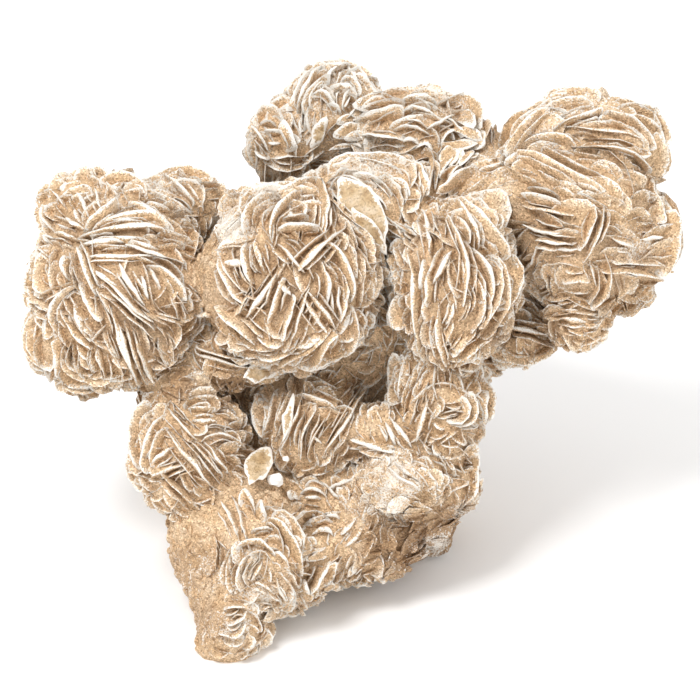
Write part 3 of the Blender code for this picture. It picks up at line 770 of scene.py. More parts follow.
def crowded(spot, crowd, gap):
    """True where a guide in the crowd is nearer to the spot than the gap."""
    return any((spot - other[0]).length < gap for other in crowd)


for index in order:
    spot = Vector(spots[index])
    gap = GUIDE_NEAR * (PETAL_NEAR if LUMP_NAMES[homes[index]] in LUMP_HABITS["petal"] else 1.0)
    if crowded(spot, guides[:crest_count], gap) or crowded(spot, guides[crest_count:], gap * LOOSE_APART):
        continue
    along = Vector(normals[index]).orthogonal()
    along.rotate(Matrix.Rotation(fill_dice.uniform(0, math.pi), 3, Vector(normals[index])))
    guides.append((spot, along))
guide_tree = KDTree(len(guides))
for number, guide in enumerate(guides):
    guide_tree.insert(guide[0], number)
guide_tree.balance()
print(len(guides) - crest_count, "loose guides")

# %% Which way a blade between runs
CROSS_SHARE = 0.12
CROSS_TURN = (45, 90)
STEEP = 0.2


def way_along(spot, normal, habit, kind, dice):
    """The direction of the nearest guide, laid on the skin and turned by the habit's stray."""
    guide = guides[guide_tree.find(spot)[1]]
    along = guide[1] - normal * guide[1].dot(normal)
    if along.length < STEEP:
        along = normal.orthogonal()
    along.normalize()
    turn = dice.gauss(0, habit["stray"])
    if dice.random() < CROSS_SHARE and kind != "shingle":
        turn += dice.choice((-1, 1)) * dice.uniform(*CROSS_TURN)
    along.rotate(Matrix.Rotation(math.radians(turn), 3, normal))
    return along


print("one blade in", round(1 / CROSS_SHARE), "crosses its neighbours")

# %% What a blade between is
SIZE_SPREAD = (0.5, 1.3)
MIDDLE_SIZE = 3.0
MOST_LEAN = 32
OVERLAP_LEAN = {"shingle": 38, "petal": 30}
SMALL_ROOT = (1.5, 0.3)
SMALL_BEND = 0.12
SMALL_SNOW = (0.15, 0.8)
SNOW_BY_HABIT = {"shingle": -0.2}
SNOW_BY_LUMP = {
    "crown": 0.3, "crown_foot": 0.3, "shelf": 0.35, "bridge": 0.35, "knee": 0.2, "saddle": 0.3,
}


def clamped_gauss(dice, spread, most):
    """A random number around 0 that never goes past the most."""
    return max(-most, min(most, dice.gauss(0, spread)))


def model_for(kind, half):
    """Which of the blades to copy: sand has rounded bumps, and a long blade needs more faces."""
    if kind == "sandy":
        return "bump"
    return "middle" if half > MIDDLE_SIZE else "small"


def small_blade(index, dice):
    """The blade that would stand on this spot of the skin."""
    lump = LUMP_NAMES[homes[index]]
    spot, normal = Vector(spots[index]), Vector(normals[index])
    kind = habit_of(lump, spot)
    habit = HABITS[kind]
    along = way_along(spot, normal, habit, kind, dice)
    half = habit["half"] * dice.uniform(*SIZE_SPREAD)
    height = dice.uniform(*habit["height"])
    lean = clamped_gauss(dice, habit["lean"], MOST_LEAN)
    if kind in OVERLAP_LEAN:
        lean += math.copysign(OVERLAP_LEAN[kind], along.cross(normal).y)
    return {
        "lump": lump, "kind": model_for(kind, half), "spacing": habit["spacing"],
        "spot": np.array(spot), "out": np.array(normal), "along": np.array(along),
        "height": height, "half": half, "lean": math.radians(lean),
        "dip": height + SMALL_BEND * half,
        "root": SMALL_ROOT[0] + SMALL_ROOT[1] * half,
        "curl": half * dice.gauss(0, SMALL_BEND),
        "snow": dice.uniform(*SMALL_SNOW) + SNOW_BY_HABIT.get(kind, 0.0) + SNOW_BY_LUMP.get(lump, 0.0),
    }


print("up to", MOST_LEAN, "degrees of random lean, and", OVERLAP_LEAN, "more where blades overlap")

# %% The blades between
CELL = 4.0
RIM_CLEAR = 0.6
ALONGSIDE = 0.85
NEAR_CELLS = [(i, j, k) for i in (-1, 0, 1) for j in (-1, 0, 1) for k in (-1, 0, 1)]
standing = {}


def cell_of(spot):
    """The cell of space that a spot lies in, so that only near blades are compared."""
    return tuple(int(value // CELL) for value in spot)


def stand(blade):
    """Notes that a blade stands on its spot."""
    standing.setdefault(cell_of(blade["spot"]), []).append(blade)


def beside_another(blade):
    """True where a blade that already stands is too close beside this one."""
    cell = cell_of(blade["spot"])
    for step in NEAR_CELLS:
        for other in standing.get((cell[0] + step[0], cell[1] + step[1], cell[2] + step[2]), ()):
            gap = other["spot"] - blade["spot"]
            ahead = abs(float(gap @ blade["along"]))
            room = other.get("clear", blade["spacing"])
            if ahead < ALONGSIDE * blade["half"] and float(gap @ gap) - ahead ** 2 < room ** 2:
                return True
    return False


small_blades = []
for foot in feet:
    stand({"spot": foot, "clear": RIM_CLEAR})
for index in order:
    blade = small_blade(index, fill_dice)
    if not beside_another(blade):
        small_blades.append(blade)
        stand(blade)
print(len(small_blades), "blades between")

# %% [markdown]
# ## One blade, modelled once
# A gypsum blade is a thin lens with a crisp rim. A disc with a thickness would have a hard, square
# edge. A flattened ball comes closer, because its rings already run round the rim. The ball is added,
# then its rings are scaled in edit mode until the lens has its profile. Its mesh is then copied for
# every blade. There are three versions, because a small blade needs far fewer faces than a large one.

# %% The blades to copy
RIM_SHAPES = {
    # height of each ring on the round ball: (its new radius, its new height), of a ball of radius 1
    "main": {0.924: (0.38, 0.93), 0.707: (0.76, 0.68), 0.383: (0.94, 0.33)},
    "middle": {0.866: (0.58, 0.86), 0.5: (0.91, 0.40)},
    "small": {0.707: (0.82, 0.55)},
}
BLADE_FACES = {"main": (20, 8), "middle": (12, 6), "small": (10, 4)}
BLADE_THICKNESS = 0.5
RING_SLACK = 0.01


def pick_ring(mesh, height):
    """Selects the points at this height above and below the middle of the ball."""
    bpy.ops.mesh.select_all(action="DESELECT")
    bpy.ops.object.mode_set(mode="OBJECT")
    for vert in mesh.vertices:
        vert.select = abs(abs(vert.co.z) - height) < RING_SLACK
    bpy.ops.object.mode_set(mode="EDIT")


def model_blade(kind):
    """Models one lens and keeps its points, its faces' sizes and their corners, to copy."""
    segments, rings = BLADE_FACES[kind]
    blade = fresh("uv_sphere", kind + "_blade", segments=segments, ring_count=rings, radius=1.0)
    bpy.ops.object.mode_set(mode="EDIT")
    for height, (new_radius, new_height) in RIM_SHAPES[kind].items():
        pick_ring(blade.data, height)
        wider = new_radius / math.sqrt(1 - height * height)
        bpy.ops.transform.resize(value=(wider, wider, new_height / height))
    bpy.ops.mesh.select_all(action="SELECT")
    bpy.ops.transform.resize(value=(1, 1, BLADE_THICKNESS))
    bpy.ops.object.mode_set(mode="OBJECT")
    mesh = blade.data
    points = np.array([vert.co[:] for vert in mesh.vertices])
    totals = np.array([face.loop_total for face in mesh.polygons])
    corners = np.array([loop.vertex_index for loop in mesh.loops])
    bpy.data.objects.remove(blade)
    return {"points": points, "totals": totals, "corners": corners}


BLADES = {kind: model_blade(kind) for kind in BLADE_FACES}
BLADES["bump"] = BLADES["small"]
for kind, blade in BLADES.items():
    print(kind, "blade,", len(blade["points"]), "points,", len(blade["totals"]), "faces")

# %% [markdown]
# ## Growing the blades
# Over six thousand copies would be slow to add and turn one at a time. Instances would be quick, but
# they can't bend or end in ragged rims. So each copy is worked out as an array: the lens's points times
# the blade's own vectors, with a few sine waves round the rim. Each point also keeps its distance from
# the rim, which later carries the white frost and the painted shade away from the rim.

# %% Where a blade's rim line runs
BEND_RADIUS = 15.0
NEXT_SHARE = 0.02


def over_lump(crest, share):
    """Places on the skin along a crest, at shares from 0 at its start to 1 at its end."""
    start, top, end = crest
    pull = 2 * top - (start + end) / 2
    share = share[:, None]
    way = (1 - share) ** 2 * start + 2 * share * (1 - share) * pull + share ** 2 * end
    lengths = np.linalg.norm(crest, axis=1)
    pull = 2 * lengths[1] - (lengths[0] + lengths[2]) / 2
    reach = (1 - share) ** 2 * lengths[0] + 2 * share * (1 - share) * pull + share ** 2 * lengths[2]
    way *= reach / np.linalg.norm(way, axis=1)[:, None]
    return way


def straight(vectors):
    """Each row's direction, with length 1."""
    return vectors / np.linalg.norm(vectors, axis=1)[:, None]


def base_of_main(blade, share):
    """Where a main blade's rim line runs, and its outward and sideways directions."""
    index = LUMP_NAMES.index(blade["lump"])
    base = over_lump(blade["crest"], share)
    ahead = over_lump(blade["crest"], share + NEXT_SHARE)
    outwards = straight(base)
    side = straight(np.cross(straight((ahead - base) * RADII[index]), outwards))
    return CENTRES[index] + base * RADII[index], outwards, side


def base_of_small(blade, share):
    """The same for a blade between: it stands on the skin and bends with it a little."""
    x = 2 * share - 1
    side = np.cross(blade["along"], blade["out"])
    length = blade["half"] * x
    rise = blade["height"] - length ** 2 / (2 * BEND_RADIUS)
    base = (blade["spot"] + np.outer(length, blade["along"]) + np.outer(rise, blade["out"])
            + np.outer(blade["curl"] * (1 - x * x), side))
    return base, blade["out"], side


print("a blade between bends round", BEND_RADIUS, "mm")

# %% One blade's points
WAIST = {"main": (0.9, 1.6), "middle": (0.42, 0.75), "small": (0.38, 0.62), "bump": (1.8, 3.4)}
THIN_LUMPS = (
    "knee", "toe", "low_west", "cave", "belly", "crown", "crown_foot", "shelf", "bridge", "far_east",
    "far_top", "far_left",
)
THINNER = 0.72
THIN_ENDS = 0.55
FLAT_RIM = {"main": 0.62, "middle": 0.75, "small": 0.85, "bump": 1.0}
RIM_WAVES = (3, 5, 8, 13)
FINER_WAVES = 0.6
ANY_TURN = 6.28
RAGGED = (0.08, 0.5)
BUMP_EDGE = 2.4
EDGE_LIMIT = 6.0
LENS_MIDDLE = 0.2
LEAST_RADIUS = 0.05


def grown_blade(blade, dice):
    """One blade's points in drawing-plane millimetres, and each point's distance from the rim."""
    lens = BLADES[blade["kind"]]["points"]
    x, y, z = lens[:, 0], lens[:, 1], lens[:, 2]
    radius = np.hypot(x, y)
    turn = np.arctan2(y, x)
    y = np.sign(y) * np.abs(y) ** FLAT_RIM[blade["kind"]]
    rag = np.zeros(len(x))
    for waves in RIM_WAVES:
        rag += dice.uniform(-1, 1) / waves ** FINER_WAVES * np.sin(waves * turn + dice.uniform(0, ANY_TURN))
    grow = 1 + rag * radius * min(RAGGED[0], RAGGED[1] / blade["half"])
    share = np.clip(0.5 + 0.5 * x * grow, 0.0, 1.0)
    base, outwards, side = (base_of_main if "crest" in blade else base_of_small)(blade, share)
    height = np.where(y > 0, blade["dip"], blade["root"]) * y * grow - blade["dip"]
    waist = dice.uniform(*WAIST[blade["kind"]]) * (THINNER if blade["lump"] in THIN_LUMPS else 1.0)
    thick = waist * z * (1 - THIN_ENDS * x * x) + math.tan(blade["lean"]) * height
    points = base + outwards * height[:, None] + side * thick[:, None]
    reach = np.hypot(blade["half"] * x * grow, height + blade["dip"])
    edge = (1 - radius) * reach / np.maximum(radius, LEAST_RADIUS)
    edge = np.where(radius < LENS_MIDDLE, EDGE_LIMIT, edge)
    if blade["kind"] == "bump":
        edge = np.maximum(edge, BUMP_EDGE)
    return points, np.minimum(edge, EDGE_LIMIT)


print("main blades are", WAIST["main"], "mm thick")

# %% A piece from arrays
def piece_of(name, points, totals, corners):
    """A piece from upright points, the number of corners of each face, and all corners in a row."""
    mesh = bpy.data.meshes.new(name)
    mesh.vertices.add(len(points))
    mesh.vertices.foreach_set("co", points.reshape(-1))
    mesh.loops.add(len(corners))
    mesh.loops.foreach_set("vertex_index", corners.astype(np.int32))
    mesh.polygons.add(len(totals))
    starts = np.concatenate([[0], np.cumsum(totals)[:-1]])
    mesh.polygons.foreach_set("loop_start", starts.astype(np.int32))
    mesh.update(calc_edges=True)
    mesh.validate()
    # Depth runs away from the viewer, so standing up mirrors a shape. The flip turns its faces out again.
    mesh.flip_normals()
    piece = bpy.data.objects.new(name, mesh)
    bpy.context.scene.collection.objects.link(piece)
    return piece


def triangles_of(piece):
    """How many triangles a piece's faces make."""
    return sum(len(face.vertices) - 2 for face in piece.data.polygons)


print("mass", triangles_of(mass), "triangles")

# %% A piece from many blades
GROW_SEED = 5
ABOVE_GROUND = 0.9
MOST_RAISED = 2.5
UPWARDS = np.array((0.0, math.cos(LEAN), -math.sin(LEAN)))


def off_the_ground(spots):
    """Raises a blade that would reach the ground. Gives None for one that would reach far under it."""
    short = ABOVE_GROUND - stand_up(spots)[:, 2].min() / MM
    return None if short > MOST_RAISED else spots + max(short, 0.0) * UPWARDS


def grow_blades(name, blades):
    """One piece with all these blades, each with its own tint and its own share of snow."""
    dice = random.Random(GROW_SEED + len(blades))
    points, totals, corners, edges, tints, snows = [], [], [], [], [], []
    offset = 0
    for blade in blades:
        lens = BLADES[blade["kind"]]
        spots, edge = grown_blade(blade, dice)
        spots = off_the_ground(spots)
        if spots is None:
            continue
        points.append(spots)
        totals.append(lens["totals"])
        corners.append(lens["corners"] + offset)
        edges.append(edge)
        tints.append(np.full(len(spots), dice.random()))
        snows.append(np.full(len(spots), blade["snow"]))
        offset += len(spots)
    piece = piece_of(name, stand_up(np.concatenate(points)), np.concatenate(totals), np.concatenate(corners))
    for layer, values in (("edge", edges), ("tint", tints), ("snow", snows)):
        give(piece.data, layer, np.concatenate(values))
    return piece


print("blades keep", ABOVE_GROUND, "mm above the ground")

# %% [markdown]
# ## Rock, not machine work
# Real blades wander. A bump in the material could hint at it, but the rims would stay ruled. So the
# cloud textures shake the blades, slowly and in a ripple, and the modifiers are applied. Whatever dips
# under the surface that the stone stands on is pressed flat. Each point also keeps how deep it lies in
# a gap, for the painted shade in the gaps.

# %% Finishing a piece
SHARP_ANGLE = math.radians(42)
HOLLOW_DEPTH = 5.0
SKIN_EDGE = 2.4
SKIN_TINT = 0.5
SKIN_SNOW = 0.2


def smooth_faces(piece):
    """Shades faces smooth that meet at less than the sharp angle."""
    pick(piece)
    bpy.ops.object.shade_smooth_by_angle(angle=SHARP_ANGLE)


def press_flat(mesh):
    """Presses everything under the standing surface up onto it."""
    points = points_of(mesh)
    points[:, 2] = np.maximum(points[:, 2], 0.0)
    mesh.vertices.foreach_set("co", points.reshape(-1))
    mesh.update()


def hollowness(mesh):
    """How far under the outline of the lumps each point lies: 0 on the outside, 1 deep in a gap."""
    places = lay_back(points_of(mesh))
    deepest = np.zeros(len(places))
    for centre, radii in zip(CENTRES, RADII):
        reach = np.sqrt((((places - centre) / radii) ** 2).sum(axis=1))
        deepest = np.maximum(deepest, (1 - reach) * radii.mean())
    return np.clip(deepest / HOLLOW_DEPTH, 0, 1)


print("a point is in the dark from", HOLLOW_DEPTH, "mm down")

# %% [markdown]
# ## Frosted places and painted shade
# White gypsum powder lies thick on a few places: the hanging shelf at the front of the foot, the crown,
# and the tops of some rosettes. The shade under the overhangs is painted in as brown spots. They could
# be painted by hand. Here each is a spot on the drawing plane with a radius, which is easy to move.
# Points near it on the front take a share of white or of painted brown shade, which the material breaks
# up with noise.

# %% Where the powder and the painted shade lie
SPOT_REACH = 1.4
FROST_DEPTH = 45.0
FROSTED = (
    # across, up, radius, amount
    (10, -29, 8, 0.9), (9, -35, 7, 0.85), (2, -36, 5, 0.7), (-21, -57, 6, 0.8), (-27, -64, 5, 0.8),
    (-13, -59, 5, 0.7), (-3, -52, 5, 0.5), (-42, 38, 7, 0.75), (-55, 38, 8, 0.4), (-2, 62, 8, 0.8),
    (-10, 56, 9, 0.65), (20, 57, 9, 0.75), (50, 58, 10, 0.6), (44, 52, 6, 0.6), (-70, 8, 7, 0.4),
    (44, 14, 7, 0.6), (66, 24, 7, 0.6), (-27, 28, 6, 1.1), (32, 42, 8, 0.6), (-38, 30, 5, 0.6),
    (30, -20, 6, 0.5), (27, -38, 6, 0.75), (-20, 0, 5, 0.5), (-29, -19, 4, 0.5), (3, 43, 10, 0.9),
    (-19, 38, 7, 1.0), (20, -47, 7, 0.8), (-24, -50, 8, 0.7), (22, 30, 6, 0.5), (-60, 22, 6, 0.4),
    (-12, 36, 7, 0.5), (-36, -52, 10, 0.45), (-33, -64, 7, 0.45),
)
# Spots of painted shade: brown painted where shade falls under the overhangs.
PAINTED_SHADE_SPOTS = (
    # across, up, radius, amount
    (15, -46, 10, 1.0), (24, -42, 8, 0.95), (6, -45, 6, 0.7), (21, -36, 5, 0.5), (-39, -8, 5, 0.8),
    (-28, -9, 6, 0.8), (-14, -9, 6, 0.45), (30, 5, 6, 0.5), (34, 4, 6, 0.6), (46, 3, 6, 0.6), (66, 9, 6, 0.5),
    (-44, -42, 6, 0.3), (-28, 38, 4, 0.4), (-40, -24, 6, 0.3), (-37, -50, 10, 0.65), (-34, -62, 9, 0.65),
)


def spotted(mesh, marks):
    """How strongly each point on the front is marked: marks are spots on the drawing plane."""
    places = lay_back(points_of(mesh))
    amount = np.zeros(len(places))
    for across, up, radius, share in marks:
        gap = np.hypot(places[:, 0] - across, places[:, 1] - up) / radius
        amount = np.maximum(amount, share * np.clip(SPOT_REACH - gap, 0, 1))
    return np.where(places[:, 2] < FROST_DEPTH, amount, 0.0)


def finish(piece):
    """Flattens a piece underneath, stores its hollows together with the spots of painted shade, stores its
    powder, and smooths its faces.
    """
    press_flat(piece.data)
    # The hollows and the spots of painted shade go into one value, which darkens the colour there.
    give(piece.data, "hollow", np.maximum(hollowness(piece.data), spotted(piece.data, PAINTED_SHADE_SPOTS)))
    give(piece.data, "powder", spotted(piece.data, FROSTED))
    smooth_faces(piece)


# The skin counts as lying SKIN_EDGE millimetres from a rim, so it takes part of the painted shade away from
# the rims.
for layer, value in (("edge", SKIN_EDGE), ("tint", SKIN_TINT), ("snow", SKIN_SNOW)):
    give(mass.data, layer, np.full(len(mass.data.vertices), value))
finish(mass)
# The second count is of the spots of painted shade under the overhangs.
print(len(FROSTED), "frosted spots and", len(PAINTED_SHADE_SPOTS), "spots of painted shade")

# %% [markdown]
# ## The rosettes
# All blades could be one piece, but that would be slow to select and to finish. So they are gathered
# into a few pieces, one for each part of the cluster. Every piece belongs to the one stone.

# %% Blades, gathered by rosette
ROSETTES = {
    "west_rosette": ("west", "west_hem", "west_top", "mid_hem", "arm"),
    "middle_rosette": ("mid", "bridge", "between"),
    "crown_rosettes": ("crown", "crown_foot", "shelf"),
    "east_rosette": ("east", "saddle", "low_east"),
    "far_east_rosette": ("far_east", "far_top", "far_left", "far_foot", "far_hem", "ledge", "neck_east"),
    "lower_thicket": ("low_west", "cave", "belly", "belly_top", "waist", "side"),
    "foot_blades": ("shin", "knee", "knee_hem", "toe", "heel", "back_foot"),
    "rear_rosettes": ("back_west", "back_east"),
    "rear_top": ("back_top", "heart"),
}
BLADE_WANDER = 1.6
BLADE_RIPPLE = 0.9
pieces = [mass]
for name, lumps in ROSETTES.items():
    chosen = [blade for blade in main_blades + small_blades if blade["lump"] in lumps]
    rosette = grow_blades(name, chosen)
    shake(rosette, WANDER, BLADE_WANDER)
    shake(rosette, RIPPLE, BLADE_RIPPLE)
    apply_all(rosette)
    finish(rosette)
    pieces.append(rosette)
    print(name, len(chosen), "blades", triangles_of(rosette), "triangles")

# %% [markdown]
# ## Honey plates and white pebbles
# A few clear plates lie nearly flat on the stone. They are honey-coloured, because little sand was
# caught in them. A flat polygon would have no rim to catch the light, so each is the same lens again,
# laid across the drawing plane. Two white gypsum pebbles sit in the hollow under the middle rosette. A
# smooth ball would look like a bead, so a pebble is a ball of few faces with its corners moved.

# %% One honey plate
HONEY_PLATES = (
    # lump, across, up, half length, half width, turn in degrees, height, thickness
    ("bridge", 2.8, 32.2, 9.4, 4.6, -53, 2.9, 1.2),
    ("bridge", 4.4, 27.2, 6.4, 2.2, -50, 3.9, 1.0),
    ("crown", -7.2, 50.4, 3.8, 1.7, 66, 3.2, 0.9),
    ("cave", -21.0, -26.3, 4.6, 3.1, 66, 4.2, 1.2),
    ("mid_hem", -20.8, -5.4, 3.9, 2.2, 0, 2.3, 1.0),
    ("low_west", -14.3, -15.5, 5.4, 1.2, 78, 2.6, 0.9),
)
LEAF_TIP = 0.45
HONEY_WAVES = (2, 3, 5, 7)
HONEY_RAGGED = 0.05
TIP_SHARE = 0.8
MOST_SLOPE = 0.8


def plate_rim(turn, dice):
    """How far the rim strays from an even oval, round the plate."""
    stray = np.zeros(len(turn))
    for waves in HONEY_WAVES:
        stray += dice.uniform(-HONEY_RAGGED, HONEY_RAGGED) * np.sin(waves * turn + dice.uniform(0, ANY_TURN))
    return stray


def honey_plate(plate, dice):
    """One plate's points, and each point's distance from the rim."""
    lump, across, up, half, wide, turn, height, thick = plate
    lens = BLADES["main"]["points"]
    radius = np.hypot(lens[:, 0], lens[:, 1])
    grow = 1 + radius * plate_rim(np.arctan2(lens[:, 1], lens[:, 0]), dice)
    cos, sin = math.cos(math.radians(turn)), math.sin(math.radians(turn))
    x = lens[:, 0] * grow * half
    y = lens[:, 1] * (1 - LEAF_TIP * lens[:, 0] ** 2) * grow * wide
    middle = lift(lump, (across, up), height)
    depths = [lift(lump, (across + end * half * cos, up + end * half * sin), height).z
              for end in (-TIP_SHARE, TIP_SHARE)]
    slope = (depths[1] - depths[0]) / (2 * TIP_SHARE * half)
    slope = max(-MOST_SLOPE, min(MOST_SLOPE, slope))
    points = np.stack([
        middle.x + x * cos - y * sin,
        middle.y + x * sin + y * cos,
        middle.z + slope * x + thick * lens[:, 2],
    ], axis=1)
    return points, np.minimum((1 - radius) * wide, EDGE_LIMIT)


print(len(HONEY_PLATES), "honey plates to lay")

# %% All honey plates
HONEY_RIPPLE = 1.5
HONEY_SEED = 31


def model_honey():
    """All honey plates as one piece."""
    dice = random.Random(HONEY_SEED)
    lens = BLADES["main"]
    grown = [honey_plate(plate, dice) for plate in HONEY_PLATES]
    count = len(lens["points"])
    corners = np.concatenate([lens["corners"] + number * count for number in range(len(grown))])
    places = stand_up(np.concatenate([points for points, _ in grown]))
    piece = piece_of("honey_plates", places, np.tile(lens["totals"], len(grown)), corners)
    give(piece.data, "edge", np.concatenate([edge for _, edge in grown]))
    return piece


honey = model_honey()
shake(honey, RIPPLE, HONEY_RIPPLE)
apply_all(honey)
smooth_faces(honey)
print("honey plates", triangles_of(honey), "triangles")

# %% White pebbles
PEBBLES = {
    # lump, across, up, radius, height
    "pebble": ("cave", -17.2, -29.8, 1.9, 3.4),
    "small_pebble": ("cave", -14.8, -25.0, 0.8, 2.6),
}
PEBBLE_SHAPE = (1.0, 0.7, 0.85)
PEBBLE_CORNERS = 0.35
PEBBLE_SEED = 3


def model_pebble(name, lump, across, up, radius, height):
    """A flattened ball with its corners moved at random, set above the skin."""
    ball = fresh("ico_sphere", name, subdivisions=2, radius=radius * MM)
    in_edit_mode(
        (bpy.ops.transform.resize, {"value": PEBBLE_SHAPE}),
        (bpy.ops.transform.vertex_random, {"offset": PEBBLE_CORNERS * radius * MM, "seed": PEBBLE_SEED}),
        (bpy.ops.transform.translate, {"value": stand_up(lift(lump, (across, up), height))}),
    )
    return ball


pebbles = [model_pebble(name, *how) for name, how in PEBBLES.items()]
for ball in pebbles:
    print(ball.name, "at", [round(side, 4) for side in points_of(ball.data).mean(axis=0)])

# %% [markdown]
# ## Sand grain
# The blades are full of sand, and each grain is a speck of its own shade. Real grains as geometry would
# be millions of faces, and noise alone looks like fog. A cell pattern at the size of real sand gives
# each grain one even tone and a round top. It is a group, because the stone and the honey plates both
# use it.

# %% Helpers for nodes
def node(tree, kind, place, **values):
    """Adds a node. A value named in_ and a number goes to that input."""
    made = tree.nodes.new(kind)
    made.location = place
    for key, value in values.items():
        if key.startswith("in_"):
            made.inputs[int(key[3:])].default_value = value
        else:
            setattr(made, key, value)
    return made


def wire(tree, *pairs):
    """Links each output to its input."""
    for source, target in pairs:
        tree.links.new(source, target)


def ramp(tree, place, source, stops):
    """Turns a value into a colour, by stops of a position and a colour."""
    made = tree.nodes.new("ShaderNodeValToRGB")
    made.location = place
    elements = made.color_ramp.elements
    while len(elements) > 1:
        elements.remove(elements[0])
    elements[0].position = stops[0][0]
    elements[0].color = (*stops[0][1], 1)
    for position, colour in stops[1:]:
        stop = elements.new(position)
        stop.color = (*colour, 1)
    tree.links.new(source, made.inputs[0])
    return made.outputs[0]


def noise(tree, coords, place, scale, detail):
    """A noise texture's value."""
    made = node(tree, "ShaderNodeTexNoise", place)
    made.inputs["Scale"].default_value = scale
    made.inputs["Detail"].default_value = detail
    tree.links.new(coords, made.inputs["Vector"])
    return made.outputs[0]


print(len(bpy.data.node_groups), "node groups so far")

# %% Sand grain, as a group
GRAIN_CELLS = 2900.0
GRIT_SCALE = 900.0
GRAIN_TOPS = 0.6


def sand_grain_group():
    """Gives each grain's tone and its height."""
    group = bpy.data.node_groups.new("sand grain", "ShaderNodeTree")
    face = group.interface
    face.new_socket("Grain Size", in_out="INPUT", socket_type="NodeSocketFloat").default_value = GRAIN_CELLS
    face.new_socket("Tone", in_out="OUTPUT", socket_type="NodeSocketFloat")
    face.new_socket("Height", in_out="OUTPUT", socket_type="NodeSocketFloat")
    start = node(group, "NodeGroupInput", (-800, 0))
    end = node(group, "NodeGroupOutput", (500, 0))
    coords = node(group, "ShaderNodeTexCoord", (-800, 250)).outputs["Object"]
    cells = node(group, "ShaderNodeTexVoronoi", (-500, 200), feature="F1")
    shade = node(group, "ShaderNodeSeparateColor", (-250, 250))
    mix = node(group, "ShaderNodeMath", (-50, 0), operation="MULTIPLY_ADD", in_1=GRAIN_TOPS)
    wire(
        group,
        (coords, cells.inputs["Vector"]),
        (start.outputs["Grain Size"], cells.inputs["Scale"]),
        (cells.outputs["Color"], shade.inputs["Color"]),
        (shade.outputs[0], end.inputs["Tone"]),
        (cells.outputs["Distance"], mix.inputs[0]),
        (noise(group, coords, (-500, -150), GRIT_SCALE, 3.0), mix.inputs[2]),
        (mix.outputs[0], end.inputs["Height"]),
    )
    return group


SAND_GRAIN = sand_grain_group()
print("sand grain group with", len(SAND_GRAIN.nodes), "nodes")

# %% [markdown]
# ## The stone's finish
# On the real stone the sand varies in patches and from blade to blade, and white gypsum frost sits on
# the rims. The shade between the blades is painted in: a blade turns darker away from its rim, and deep
# gaps turn brown, partly the brown of the sand there. All could be painted on a picture, but a picture
# would blur close up and need unwrapping. So the colour is built from what each point knows: its
# distance from the rim, its depth in a gap, its blade's tint and snow, and the powder on it. Noise
# breaks up every border between them.

# %% Reading values, and sums with them
def attribute(tree, name, place):
    """A value that the mesh keeps for each point."""
    return node(tree, "ShaderNodeAttribute", place, attribute_name=name).outputs["Fac"]


def grained_by(tree, place):
    """The sand grain group, placed in a material."""
    grain = node(tree, "ShaderNodeGroup", place, node_tree=SAND_GRAIN)
    grain.inputs["Grain Size"].default_value = GRAIN_CELLS
    return grain


def maths(tree, place, kind, first, second, third=None, clamp=False):
    """A sum of values or sockets. MULTIPLY_ADD gives first times second plus third."""
    made = node(tree, "ShaderNodeMath", place, operation=kind, use_clamp=clamp)
    for slot, value in enumerate((first, second, third)):
        if isinstance(value, (int, float)):
            made.inputs[slot].default_value = value
        elif value is not None:
            tree.links.new(value, made.inputs[slot])
    return made.outputs[0]


def smooth_range(tree, place, value, low, high, most=1.0):
    """Rises smoothly from 0 at low to the most at high."""
    made = node(tree, "ShaderNodeMapRange", place, interpolation_type="SMOOTHSTEP")
    made.inputs["From Min"].default_value = low
    made.inputs["From Max"].default_value = high
    made.inputs["To Max"].default_value = most
    tree.links.new(value, made.inputs["Value"])
    return made.outputs[0]


print("grains are about", round(1 / GRAIN_CELLS / MM, 2), "mm wide")


# %% Mixing colours, and starting a material
def mixed(tree, place, share, first, second, blend="MIX"):
    """Mixes two colours, by a share of the second."""
    made = node(tree, "ShaderNodeMix", place, data_type="RGBA", blend_type=blend)
    for slot, value in ((0, share), (6, first), (7, second)):
        if isinstance(value, (int, float, tuple)):
            made.inputs[slot].default_value = value
        else:
            tree.links.new(value, made.inputs[slot])
    return made.outputs[2]


def fresh_material(name, roughness):
    """A new material with an even roughness, and its node tree and shader."""
    material = bpy.data.materials.new(name)
    material.use_nodes = True
    shader = material.node_tree.nodes["Principled BSDF"]
    shader.inputs["Roughness"].default_value = roughness
    return material, material.node_tree, shader


print(len(bpy.data.materials), "materials so far")

# %% Sand: patches of colour, one tint for each blade, painted shade away from the rims and in the gaps, then grain
PATCH_SCALE = 160.0
TINT_SHARE = 0.22
SAND_COLOURS = ((0.3, (0.56, 0.395, 0.235)), (0.5, (0.68, 0.51, 0.335)), (0.72, (0.77, 0.635, 0.475)))
SPECK_SHADES = (
    (0.0, (0.36, 0.31, 0.27)), (0.10, (0.62, 0.56, 0.50)), (0.3, (0.88, 0.85, 0.82)),
    (0.72, (1.08, 1.08, 1.08)), (0.95, (1.6, 1.62, 1.66)),
)
GRAIN_SHARE = 0.8
# Painted shade: a blade darkens away from its rim, down into the shaded gaps between blades.
RIM_DISTANCE_SHADE_RANGE = (0.6, 3.6, 0.6)
RIM_DISTANCE_SHADE = (0.565, 0.37, 0.2, 1)
# Painted shade deep in the gaps: a brown that also stands for the darker sand there.
GAP_DEPTH = (0.15, 1.0, 0.7)
GAP_SHADE_BROWN = (0.27, 0.145, 0.062, 1)


